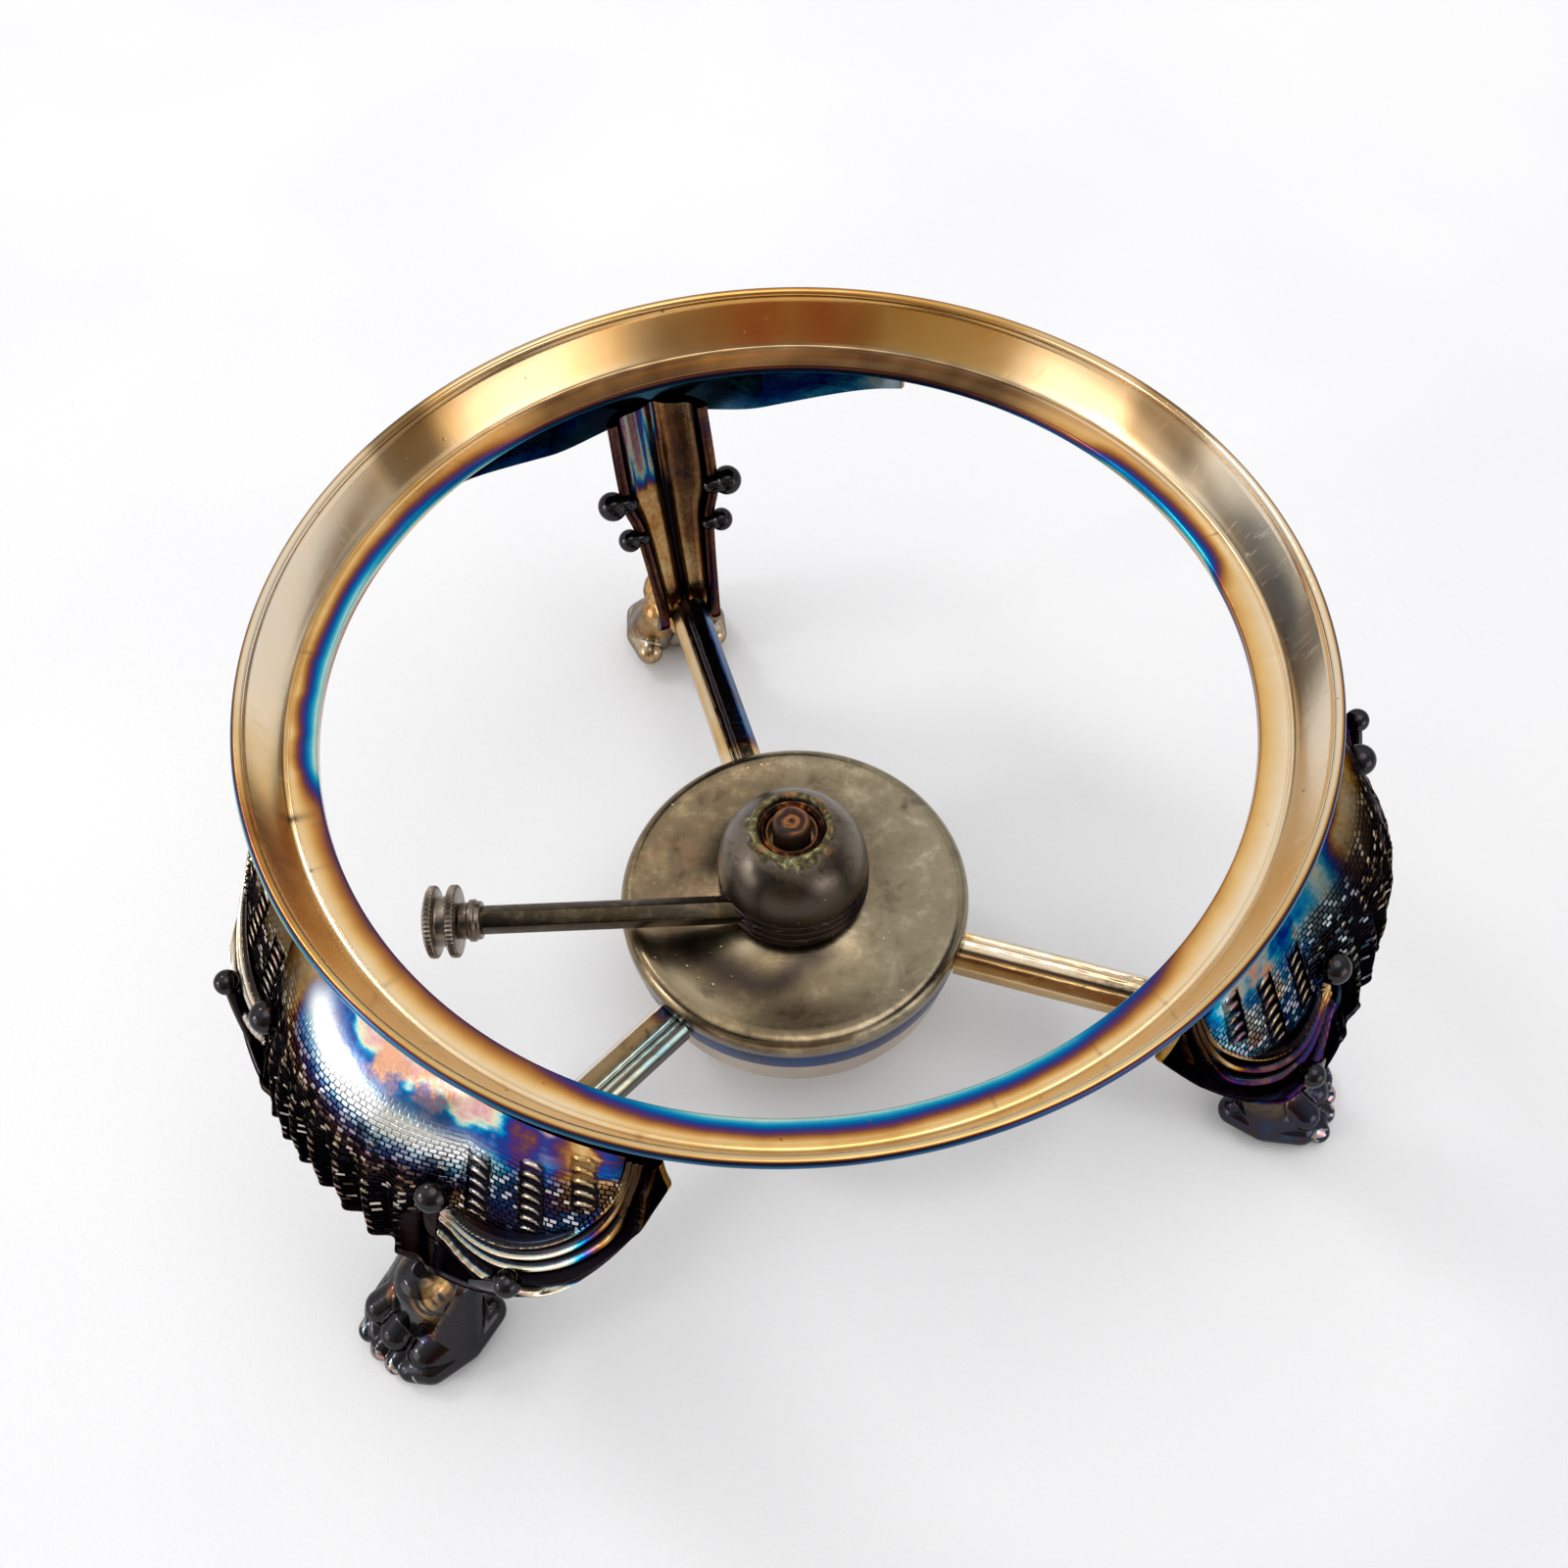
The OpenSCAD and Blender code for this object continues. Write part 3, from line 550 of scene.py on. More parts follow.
class Finish(Net):
    """A material with one Principled shader."""

    def __init__(self, name, metallic=1.0, **constants):
        self.material = bpy.data.materials.new(name)
        self.material.use_nodes = True
        super().__init__(self.material.node_tree)
        self.tree.nodes.clear()
        self.shader = self.add("ShaderNodeBsdfPrincipled", {"Metallic": metallic, **constants})
        out = self.add("ShaderNodeOutputMaterial")
        self.tree.links.new(self.shader.outputs["BSDF"], out.inputs["Surface"])

    def use(self, group, **inputs):
        """Places an effect; an input's name has _ for its spaces."""
        node = self.add("ShaderNodeGroup", node_tree=group)
        for key, value in inputs.items():
            socket = node.inputs[key.replace("_", " ")]
            if isinstance(value, bpy.types.NodeSocket):
                self.tree.links.new(value, socket)
            else:
                socket.default_value = value
        return node.outputs

    def tint(self, film, patch_size, patch_depth, grain_depth):
        """The colour that a film of this thickness has."""
        return self.use(
            HEAT_TINT, Film=film, Patch_size=patch_size, Patch_depth=patch_depth, Grain_depth=grain_depth
        )["Colour"]

    def veil(self, amount, cloud_size, break_up):
        """A cloudy mask of tarnish."""
        return self.use(GRIME, Amount=amount, Cloud_size=cloud_size, Break_up=break_up)["Mask"]

    def worn(self, scratch_size, speck_size, speck_share):
        """Masks of scratches and specks, and their height."""
        return self.use(WORN, Scratch_size=scratch_size, Speck_size=speck_size, Speck_share=speck_share)

    def end(self, colour, roughness, height, depth_mm):
        """Joins the colour, roughness and bump to the shader; the bump is depth_mm high."""
        self.tree.links.new(colour, self.shader.inputs["Base Color"])
        self.tree.links.new(roughness, self.shader.inputs["Roughness"])
        bump = self.add("ShaderNodeBump", {"Height": height, "Distance": depth_mm * METRE, "Strength": 1.0})
        self.tree.links.new(bump.outputs["Normal"], self.shader.inputs["Normal"])
        return self.material


def plate_finish():
    """Silver plate of the support ring, tinted by heat from its inner edge."""
    f = Finish("tarnished_plate")
    tint = f.tint(f.mark("film"), 70.0, 0.10, 0.02)
    worn = f.worn(90.0, 210.0, 0.09)
    veil = f.veil(0.40, 55.0, 0.25)
    tone = f.mix(f.mark("warm"), (1.0, 0.96, 0.86), (0.80, 0.64, 0.42))
    tone = f.mix(f.mark("olive"), tone, (0.88, 0.80, 0.60))
    colour = f.mix(1.0, tint, tone, "MULTIPLY")
    colour = f.mix(f.maths("MULTIPLY", veil, 0.16), colour, (0.30, 0.19, 0.09))
    # the dark mark: burnt marks and a dark rim, with painted shade in the crease and painted dark reflections
    # across the flare and over the seat at the back
    colour = f.mix(f.maths("MULTIPLY", f.mark("grime"), 0.92, clamp=True), colour, (0.05, 0.025, 0.015))
    colour = f.mix(f.maths("MULTIPLY", worn["Speck"], 0.8), colour, (0.10, 0.05, 0.03))
    rough = f.maths("MULTIPLY_ADD", f.noise(45.0, 4.0), 0.16, 0.10)
    rough = f.maths("MULTIPLY_ADD", worn["Speck"], 0.3, rough)
    swell = f.maths("MULTIPLY_ADD", f.noise(60.0, 2.0), 0.8, worn["Height"])
    return f.end(colour, rough, swell, 0.05)


def cast_finish():
    """Cast leg: a tinted film, matt black soot, chased rows with painted glints on some dashes, stacked hoops
    whose crests are painted glints, and pale metal that lays painted highlights.
    """
    dark_edge = {"Specular IOR Level": 0.12, "Specular Tint": (0.14, 0.13, 0.14, 1.0)}
    f = Finish("tinted_cast", **{"Coat Roughness": 0.06, **dark_edge})
    f.tree.links.new(f.mark("gloss"), f.shader.inputs["Coat Weight"])
    tint = f.tint(f.mark("film"), 110.0, 0.34, 0.22)
    crest_tint = f.tint(f.mark("crest"), 170.0, 0.5, 0.1)
    rows = f.use(ROWS, Dash=1.35, Row=0.96, Gap=0.20)
    row_mark = f.mark("chased")
    hoop_mark = f.mark("hoops")
    hoops = f.use(HOOPS, Mask=hoop_mark, Column=f.mark("column"), Pitch=2.2)["Crest"]
    veil = f.veil(0.46, 80.0, 0.5)
    # the dark mark is soot, with painted shade added in the shells' hollows and inside the shanks' open backs
    soot = f.maths("MULTIPLY_ADD", veil, 0.15, f.mark("grime"))
    low = f.maths("MULTIPLY", f.maths("SUBTRACT", 1.0, rows["Height"]), row_mark)
    # the hoops' crests are lifted out of the black around them and given the crest tint: painted glints;
    # their bump is relief
    around_hoops = f.maths("MULTIPLY", hoop_mark, 0.6)
    dull = f.maths("ADD", f.maths("MULTIPLY_ADD", low, 0.8, soot), around_hoops, clamp=True)
    # painted glints: dashes whose random grey beats the soot are lifted out of the black
    over = f.maths("SUBTRACT", rows["Shade"], f.maths("MULTIPLY", soot, 0.86))
    lit = f.maths("MULTIPLY", f.maths("MULTIPLY", over, 7.0, clamp=True), rows["Height"])
    lit = f.maths("MULTIPLY", f.maths("MULTIPLY", lit, row_mark), f.maths("SUBTRACT", 1.0, hoop_mark))
    lift = f.maths("MAXIMUM", f.maths("MULTIPLY", hoops, 1.25, clamp=True), lit)
    dull = f.maths("MULTIPLY", dull, f.maths("SUBTRACT", 1.06, f.maths("MULTIPLY", lift, 0.98)), clamp=True)
    colour = f.mix(f.maths("MULTIPLY", hoops, 1.4, clamp=True), tint, crest_tint)
    blotch = f.ramp(f.noise(190.0, 5.0, 0.62), [(0.44, 0.0), (0.56, 1.0)])
    blush = f.maths("MULTIPLY", f.mark("blush"), f.maths("MULTIPLY_ADD", blotch, 0.7, 0.3), clamp=True)
    # painted glints on sooty dashes, turned pale
    painted_glint = f.maths("MULTIPLY", lit, f.maths("MULTIPLY", soot, 0.8, clamp=True))
    colour = f.mix(painted_glint, colour, (0.95, 0.90, 0.84))
    colour = f.mix(blush, colour, (0.86, 0.44, 0.27))
    # pale metal, laid as a painted highlight along the first leg's highlight line
    colour = f.mix(f.mark("bare"), colour, (0.97, 0.96, 0.95))
    colour = f.mix(dull, colour, (0.013, 0.011, 0.014))
    rough = f.maths("MULTIPLY_ADD", f.noise(300.0, 4.0), 0.18, 0.12)
    smooth_rows = f.maths("SUBTRACT", 1.0, f.maths("MULTIPLY", hoop_mark, 0.8))
    height = f.maths("MULTIPLY", f.maths("MULTIPLY", rows["Height"], row_mark), smooth_rows)
    height = f.maths("MULTIPLY_ADD", hoops, 1.6, height)
    grain = f.maths("MULTIPLY", f.noise(1400.0, 2.0), 0.10)
    pits = f.maths("MULTIPLY_ADD", f.noise(160.0, 3.0), 0.25, grain)
    return f.end(colour, rough, f.maths("ADD", height, pits), 0.26)


def arm_finish():
    """Bars between the legs and the holder: a tinted film under soot."""
    f = Finish("tinted_bar")
    tint = f.tint(f.mark("film"), 60.0, 0.3, 0.06)
    worn = f.worn(120.0, 330.0, 0.07)
    veil = f.veil(0.45, 90.0, 0.4)
    # the dark mark is soot, with painted shade on the first two bars' lower sides and along the first bar's
    # flat
    soot = f.maths("MULTIPLY_ADD", veil, 0.3, f.mark("grime"), clamp=True)
    colour = f.mix(soot, tint, (0.05, 0.035, 0.025))
    rough = f.maths("MULTIPLY_ADD", f.noise(120.0, 4.0), 0.16, 0.12)
    height = f.maths("MULTIPLY_ADD", f.noise(140.0, 3.0), 0.7, worn["Height"])
    return f.end(colour, rough, height, 0.12)


def sheet_finish(name, light, dark, sheen, veil_amount=0.5):
    """Dull sheet metal: two tones in clouds, specks and spun lines."""
    f = Finish(name)
    cloud_mask = f.veil(veil_amount, 45.0, 0.35)
    wide = f.ramp(f.noise(24.0, 3.0, 0.5, 0.5), [(0.38, 0.0), (0.64, 1.0)])
    worn = f.worn(70.0, 260.0, 0.05)
    colour = f.mix(f.maths("MULTIPLY", cloud_mask, 0.75), light, dark)
    colour = f.mix(f.maths("MULTIPLY", wide, 0.35), colour, tuple(0.55 * c for c in dark))
    colour = f.mix(f.maths("MULTIPLY", worn["Speck"], 0.8), colour, (0.5, 0.46, 0.38))
    colour = f.mix(f.maths("MULTIPLY", f.mark("grime"), 0.9, clamp=True), colour, (0.04, 0.03, 0.025))
    rough = f.maths("MULTIPLY_ADD", cloud_mask, 0.12, sheen)
    rough = f.maths("MULTIPLY_ADD", f.noise(90.0, 5.0), 0.14, rough)
    height = f.maths("MULTIPLY_ADD", f.noise(80.0, 5.0, 0.65), 0.9, worn["Height"])
    return f.end(colour, rough, height, 0.07)


def cover_finish():
    """Pewter cover: brown on the left, pale and greenish on the right, both mottled."""
    f = Finish("pewter_cover")
    side = f.add("ShaderNodeSeparateXYZ", {0: f.add("ShaderNodeTexCoord").outputs["Object"]}).outputs["X"]
    edge = f.maths("MULTIPLY_ADD", f.maths("SUBTRACT", f.noise(40.0, 4.0), 0.5), 0.05, side)
    right = f.ramp(f.maths("MULTIPLY_ADD", edge, 14.0, 0.35), [(0.2, 0.0), (0.8, 1.0)])
    fine = f.noise(120.0, 8.0, 0.68, 0.15)
    brown = f.ramp(fine, [
        (0.32, (0.095, 0.067, 0.037)), (0.50, (0.19, 0.138, 0.080)), (0.70, (0.33, 0.245, 0.135)),
    ])
    pale = f.ramp(fine, [
        (0.30, (0.16, 0.128, 0.082)), (0.50, (0.26, 0.215, 0.14)), (0.74, (0.44, 0.39, 0.29)),
    ])
    colour = f.mix(right, brown, pale)
    worn = f.worn(70.0, 330.0, 0.13)
    left_only = f.maths("SUBTRACT", 1.0, f.maths("MULTIPLY", right, 0.7))
    colour = f.mix(f.maths("MULTIPLY", worn["Speck"], left_only), colour, (0.62, 0.52, 0.34))
    rust = f.maths("MULTIPLY", f.mark("rust"), f.ramp(f.noise(110.0, 5.0), [(0.44, 0.0), (0.58, 1.0)]))
    colour = f.mix(rust, colour, (0.34, 0.19, 0.10))
    # painted highlights where the shine mark is
    colour = f.mix(f.mark("shine"), colour, (0.66, 0.54, 0.34))
    stain = f.ramp(f.noise(70.0, 5.0, 0.65, 0.4), [(0.60, 0.0), (0.70, 1.0)])
    colour = f.mix(f.maths("MULTIPLY", stain, 0.55), colour, (0.06, 0.05, 0.04))
    # the dark mark is painted shade at the cover's foot and a darker bent band on the dish
    colour = f.mix(f.maths("MULTIPLY", f.mark("grime"), 0.9, clamp=True), colour, (0.04, 0.03, 0.025))
    rough = f.maths("MULTIPLY_ADD", fine, 0.22, 0.13)
    height = f.maths("MULTIPLY_ADD", f.noise(90.0, 6.0, 0.7), 0.9, worn["Height"])
    return f.end(colour, rough, height, 0.06)


def dark_finish(name, tone, sheen, cover, film=0.5):
    """Blackened metal with a faint tint."""
    f = Finish(name)
    tint = f.tint(film, 90.0, 0.5, 0.1)
    worn = f.worn(110.0, 300.0, 0.06)
    veil = f.veil(0.5, 110.0, 0.5)
    colour = f.mix(f.maths("MULTIPLY_ADD", veil, -0.1, cover), tint, tone)
    colour = f.mix(f.maths("MULTIPLY", worn["Scratch"], 0.18), colour, (0.45, 0.40, 0.34))
    rough = f.maths("MULTIPLY_ADD", f.noise(200.0, 4.0), 0.2, sheen)
    return f.end(colour, rough, f.maths("MULTIPLY_ADD", f.noise(300.0, 4.0), 0.6, worn["Height"]), 0.05)


def knob_finish():
    """Worn knurled steel, brown-black between the ridges."""
    f = Finish("knurled_steel")
    veil = f.veil(0.5, 160.0, 0.5)
    worn = f.worn(180.0, 420.0, 0.07)
    colour = f.mix(f.maths("MULTIPLY", veil, 0.8), (0.30, 0.25, 0.20), (0.13, 0.09, 0.06))
    colour = f.mix(f.maths("MULTIPLY", f.mark("grime"), 0.9, clamp=True), colour, (0.05, 0.03, 0.02))
    colour = f.mix(f.maths("MULTIPLY", worn["Scratch"], 0.3), colour, (0.62, 0.56, 0.48))
    rough = f.maths("MULTIPLY_ADD", f.noise(260.0, 4.0), 0.22, 0.2)
    return f.end(colour, rough, f.maths("MULTIPLY_ADD", f.noise(500.0, 4.0), 0.7, worn["Height"]), 0.05)


def dome_finish():
    """Brown-violet dome that turns to verdigris and rust round its mouth."""
    f = Finish("dome_metal")
    veil = f.veil(0.5, 95.0, 0.5)
    worn = f.worn(100.0, 380.0, 0.12)
    colour = f.mix(veil, (0.165, 0.135, 0.105), (0.085, 0.060, 0.042))
    blue = f.ramp(f.noise(38.0, 3.0, 0.5, 0.4), [(0.52, 0.0), (0.7, 1.0)])
    colour = f.mix(f.mark("shade"), colour, (0.028, 0.020, 0.014))
    colour = f.mix(f.maths("MULTIPLY", blue, 0.35), colour, (0.12, 0.12, 0.14))
    mouth = f.mark("crust")
    edge = f.maths("MULTIPLY_ADD", f.maths("SUBTRACT", f.noise(230.0, 6.0, 0.7, 1.0), 0.5), 1.5, mouth)
    crust = f.ramp(edge, [(0.50, 0.0), (0.66, 1.0)])
    crust_tone = f.ramp(f.noise(420.0, 5.0, 0.7, 0.5), [
        (0.36, (0.02, 0.016, 0.008)), (0.48, (0.10, 0.075, 0.025)), (0.58, (0.24, 0.21, 0.08)),
        (0.70, (0.70, 0.67, 0.50)),
    ])
    colour = f.mix(crust, colour, crust_tone)
    rust = f.ramp(f.noise(150.0, 4.0, 0.6, 1.2), [(0.52, 0.0), (0.62, 1.0)])
    rust_here = f.maths("MULTIPLY", rust, f.maths("MULTIPLY", mouth, 1.1, clamp=True))
    colour = f.mix(f.maths("MULTIPLY", rust_here, 0.8), colour, (0.36, 0.15, 0.04))
    colour = f.mix(f.maths("MULTIPLY", worn["Speck"], 0.5), colour, (0.5, 0.46, 0.30))
    char_tone = f.ramp(f.noise(260.0, 5.0, 0.6, 0.8), [
        (0.40, (0.012, 0.006, 0.005)), (0.52, (0.07, 0.018, 0.010)), (0.64, (0.34, 0.13, 0.03)),
    ])
    colour = f.mix(f.mark("burnt"), colour, char_tone)
    rough = f.maths("MULTIPLY_ADD", crust, 0.3, f.maths("MULTIPLY_ADD", f.noise(90.0, 4.0), 0.16, 0.24))
    bumps = f.maths("MULTIPLY", f.noise(480.0, 6.0, 0.75), crust)
    height = f.maths("MULTIPLY_ADD", bumps, 3.0, f.maths("MULTIPLY", f.noise(110.0, 4.0), 0.7))
    metal = f.maths("SUBTRACT", 1.0, f.maths("MULTIPLY", crust, 0.6))
    f.tree.links.new(metal, f.shader.inputs["Metallic"])
    return f.end(colour, rough, height, 0.16)


def wick_finish():
    """Charred, rust-brown wick end with a black spot."""
    f = Finish("charred_wick", metallic=0.0, **{"Specular IOR Level": 0.25})
    place = f.add("ShaderNodeTexCoord").outputs["Object"]
    swirl = f.add(
        "ShaderNodeTexWave", {"Vector": place, "Scale": 130.0, "Distortion": 6.0, "Detail": 3.0},
        wave_type="RINGS", rings_direction="Z",
    ).outputs["Fac"]
    colour = f.ramp(swirl, [
        (0.1, (0.02, 0.006, 0.004)), (0.5, (0.13, 0.035, 0.010)), (0.9, (0.27, 0.10, 0.022)),
    ])
    soot = f.veil(0.45, 320.0, 0.4)
    colour = f.mix(f.maths("MULTIPLY", soot, 0.8), colour, (0.012, 0.009, 0.008))
    colour = f.mix(f.mark("charred"), colour, (0.010, 0.005, 0.004))
    rough = f.maths("MULTIPLY_ADD", f.noise(300.0, 4.0), 0.35, 0.3)
    height = f.maths("MULTIPLY_ADD", f.noise(700.0, 5.0), 0.6, swirl)
    return f.end(colour, rough, height, 0.25)


def soft_finish(name, light, dark):
    """Fibre: felt, cotton or gasket."""
    f = Finish(name, metallic=0.0)
    strands = f.noise(500.0, 6.0, 0.7, 0.6)
    colour = f.ramp(strands, [(0.3, dark), (0.7, light)])
    rough = f.maths("MULTIPLY_ADD", strands, 0.15, 0.78)
    return f.end(colour, rough, strands, 0.2)


PLATE = plate_finish()
CAST = cast_finish()
ARM = arm_finish()
HOLDER = dark_finish("holder_blue", (0.006, 0.03, 0.09), 0.2, 0.80, film=0.66)
PAN = sheet_finish("pan_sheet", (0.56, 0.48, 0.40), (0.42, 0.34, 0.27), 0.32, veil_amount=0.42)
COVER = cover_finish()
DOME = dome_finish()
COLLAR = dark_finish("black_collar", (0.014, 0.013, 0.012), 0.18, 0.95)
ROD = dark_finish("hex_rod", (0.018, 0.016, 0.013), 0.14, 0.95, film=0.24)
KNOB = knob_finish()
STEEL = sheet_finish("spindle_steel", (0.55, 0.53, 0.50), (0.36, 0.33, 0.30), 0.22)
BURNT = sheet_finish("burnt_tube", (0.16, 0.07, 0.03), (0.05, 0.02, 0.01), 0.35)
BRASS = sheet_finish("dull_brass", (0.52, 0.38, 0.17), (0.26, 0.18, 0.08), 0.28)
WICK = wick_finish()
FELT = soft_finish("gasket_felt", (0.16, 0.10, 0.06), (0.05, 0.03, 0.02))
COTTON = soft_finish("wadding_cotton", (0.82, 0.78, 0.70), (0.60, 0.55, 0.46))


# ---- support ring ------------------------------------------------------------
def around(deg, spots):
    """Smooth value at an angle, from (angle, value) spots that close on themselves."""
    angles = np.array([p[0] for p in spots], float)
    values = np.array([p[1] for p in spots], float)
    angles = np.concatenate([angles[-1:] - 360, angles, angles[:1] + 360])
    values = np.concatenate([values[-1:], values, values[:1]])
    i = np.clip(np.searchsorted(angles, deg, side="right") - 1, 0, len(angles) - 2)
    return lerp(values[i], values[i + 1], ease((deg - angles[i]) / (angles[i + 1] - angles[i])))


# film at the inner edge, how far in mm it reaches, and the film of mid seat, outer seat and flare
EDGE_FILM = (
    (0, 0.36), (10, 0.4), (18, 0.95), (35, 0.82), (45, 0.5), (125, 0.5), (137, 0.72),
    (150, 0.86), (163, 1.0), (190, 1.02), (197, 0.6), (240, 0.6), (250, 0.9), (262, 1.04),
    (295, 1.0), (309, 0.8), (318, 0.46), (335, 0.36),
)
EDGE_REACH = (
    (0, 1.6), (12, 1.5), (18, 1.9), (35, 1.6), (45, 1.0), (130, 1.3), (140, 2.0),
    (155, 2.8), (170, 3.8), (188, 4.2), (196, 2.0), (203, 1.9), (245, 1.9), (253, 2.6),
    (264, 3.5), (278, 3.5), (300, 3.0), (312, 2.0), (320, 1.8),
)
MID_FILM = (
    (0, 0.26), (20, 0.36), (35, 0.28), (50, 0.32), (130, 0.24), (150, 0.38), (200, 0.37),
    (215, 0.33), (240, 0.31), (262, 0.34), (300, 0.38), (320, 0.28), (335, 0.22),
)
SEAT_FILM = (
    (0, 0.15), (20, 0.19), (45, 0.14), (130, 0.2), (150, 0.26), (160, 0.3), (175, 0.29),
    (190, 0.24), (205, 0.18), (245, 0.17), (260, 0.27), (280, 0.29), (300, 0.22), (330, 0.11),
    (350, 0.13),
)
FLARE_FILM = (
    (0, 0.12), (20, 0.04), (35, 0.2), (50, 0.08), (62, 0.22), (90, 0.28), (108, 0.18),
    (124, 0.06), (140, 0.22), (150, 0.08), (180, 0.08), (192, 0.2), (200, 0.4), (212, 0.33),
    (226, 0.23), (243, 0.17), (270, 0.13), (300, 0.13), (325, 0.16), (340, 0.09), (350, 0.08),
)
# marks burnt into the plate: angle, radius, length along the ring, length across it, strength
BURNS = (
    (197.3, 88.4, 0.9, 1.5, 1.0), (197.0, 86.4, 0.5, 1.6, 0.6), (173.2, 87.6, 0.35, 0.9, 0.7),
    (204.7, 87.9, 0.35, 0.5, 0.8), (222.0, 86.4, 0.5, 1.5, 0.5), (20.0, 87.9, 0.25, 0.8, 0.5),
    (204.0, 90.3, 1.0, 0.9, 0.4), (231.0, 89.9, 0.4, 1.2, 0.35), (289.0, 87.4, 0.3, 0.8, 0.4),
    (296.0, 86.3, 0.5, 0.6, 0.5), (301.0, 87.7, 0.35, 0.5, 0.45), (310.0, 87.8, 0.3, 0.5, 0.4),
    (318.0, 85.9, 0.5, 0.5, 0.4), (347.0, 84.7, 0.5, 0.6, 0.4), (254.0, 88.6, 0.5, 0.4, 0.3),
)


def ring_film(r, z, a):
    """Film thickness by place, with radial smears."""
    deg = np.degrees(a) % 360 + 0 * r
    inward = np.maximum(r - seat_r, 0.0)
    smear = wave_noise(a * 34.0, r * 0.5, 5)
    wander = wave_noise(a * 6.0, r * 0.4, 8)
    reach = around(deg, EDGE_REACH) * (1 + 0.14 * smear + 0.08 * wander)
    edge = around(deg, EDGE_FILM) * np.exp(-((inward / reach) ** 1.7))
    mid = around(deg, MID_FILM) * bell(inward, 2.6, 1.6) * (1 + 0.22 * smear + 0.18 * wander)
    seat = around(deg, SEAT_FILM) * (1 + 0.12 * smear)
    film = np.maximum(edge, np.maximum(mid, seat * ease(inward / 2.5)))
    flare = around(deg, FLARE_FILM) + 0.025 * smear + 0.03 * wander
    film = lerp(film, flare, zone(r, crease_r - 0.4, crease_r + 0.4))
    rim = 0.66 * bell(r, ring_r - 0.1, 0.55)
    under = np.where(z < -0.3, 0.35, 0.0)
    return np.maximum(film, 0.0) + rim + under


# painted shade along the crease, its strength by angle
CREASE_SHADE = ((0, 0.35), (25, 0.55), (60, 1.0), (110, 1.0), (150, 0.7), (200, 0.5), (240, 0.25), (320, 0.25))
# painted dark reflections across the flare, by angle
FLARE_REFLECTIONS = (
    (26, 0.0), (31, 0.62), (38, 0.60), (42, 0.0),
    (135, 0.0), (139, 0.72), (145, 0.66), (148, 0.0),
)
# painted dark reflection over the seat at the back, by angle
SEAT_REFLECTION = ((46, 0.0), (58, 0.98), (90, 0.92), (120, 0.98), (132, 0.0))


def ring_burns_and_painted_dark(r, z, a):
    """Painted shade in the crease, painted dark reflections across the flare and over the seat at the back,
    burnt marks, a dark rim.
    """
    deg = np.degrees(a) % 360 + 0 * r
    # painted shade in the crease
    crease = 0.55 * around(deg, CREASE_SHADE) * bell(r, crease_r - 0.25, 0.40)
    crease = crease * (0.75 + 0.35 * wave_noise(a * 26, r, 3))
    flare = zone(r, crease_r + 0.2, crease_r + 0.7)
    rim = 0.45 * bell(r, ring_r - 0.4, 0.5)
    burnt = 0 * r
    for angle, radius, along, across, strength in BURNS:
        off = (deg - angle + 180) % 360 - 180
        near = (np.radians(off) * radius / along) ** 2 + ((r - radius) / across) ** 2
        burnt = np.maximum(burnt, strength * np.exp(-near))
    on_top = np.where(z > 0.5, 1.0, 0.0)
    # painted dark reflection over the seat at the back
    seat_reflection = around(deg, SEAT_REFLECTION) * (0.9 + 0.2 * wave_noise(a * 18, r * 0.8, 7))
    seat_reflection = seat_reflection * zone(r, crease_r - 0.3, crease_r - 0.9)
    # painted dark reflections across the flare
    bands = around(deg, FLARE_REFLECTIONS) * flare
    return np.clip(crease + bands + rim + np.maximum(burnt, seat_reflection) * on_top, 0, 1)


# the flare's run and its outward side, as (radius, height)
flare_dir = np.array([ring_r - bead_r - 0.6 - crease_r, rim_z - bead_r - crease_z])
flare_dir = flare_dir / np.linalg.norm(flare_dir)
flare_out = np.array([flare_dir[1], -flare_dir[0]])


def ring_dents(r, z, a):
    """Slight dents, fading out towards the ring's two edges."""
    dent = 0.07 * wave_noise(a * 4.0, r * 0.25, 11) - 0.05
    weight = np.clip((r - seat_r - 1.3) / 3, 0, 1) * np.clip((ring_r - 1.0 - r) / 1.5, 0, 1)
    return r, z + dent * weight


def ring_warm(r, z, a):
    """The browner back of the ring, most of all on its flare."""
    return zone(np.sin(a), 0.35, 0.75) * (0.3 + 0.7 * zone(r, crease_r - 0.5, crease_r + 1.0))


def ring_olive(r, z, a):
    """The olive front of the flare."""
    return zone(-np.sin(a), 0.2, 0.6) * zone(r, crease_r - 0.2, crease_r + 0.8)


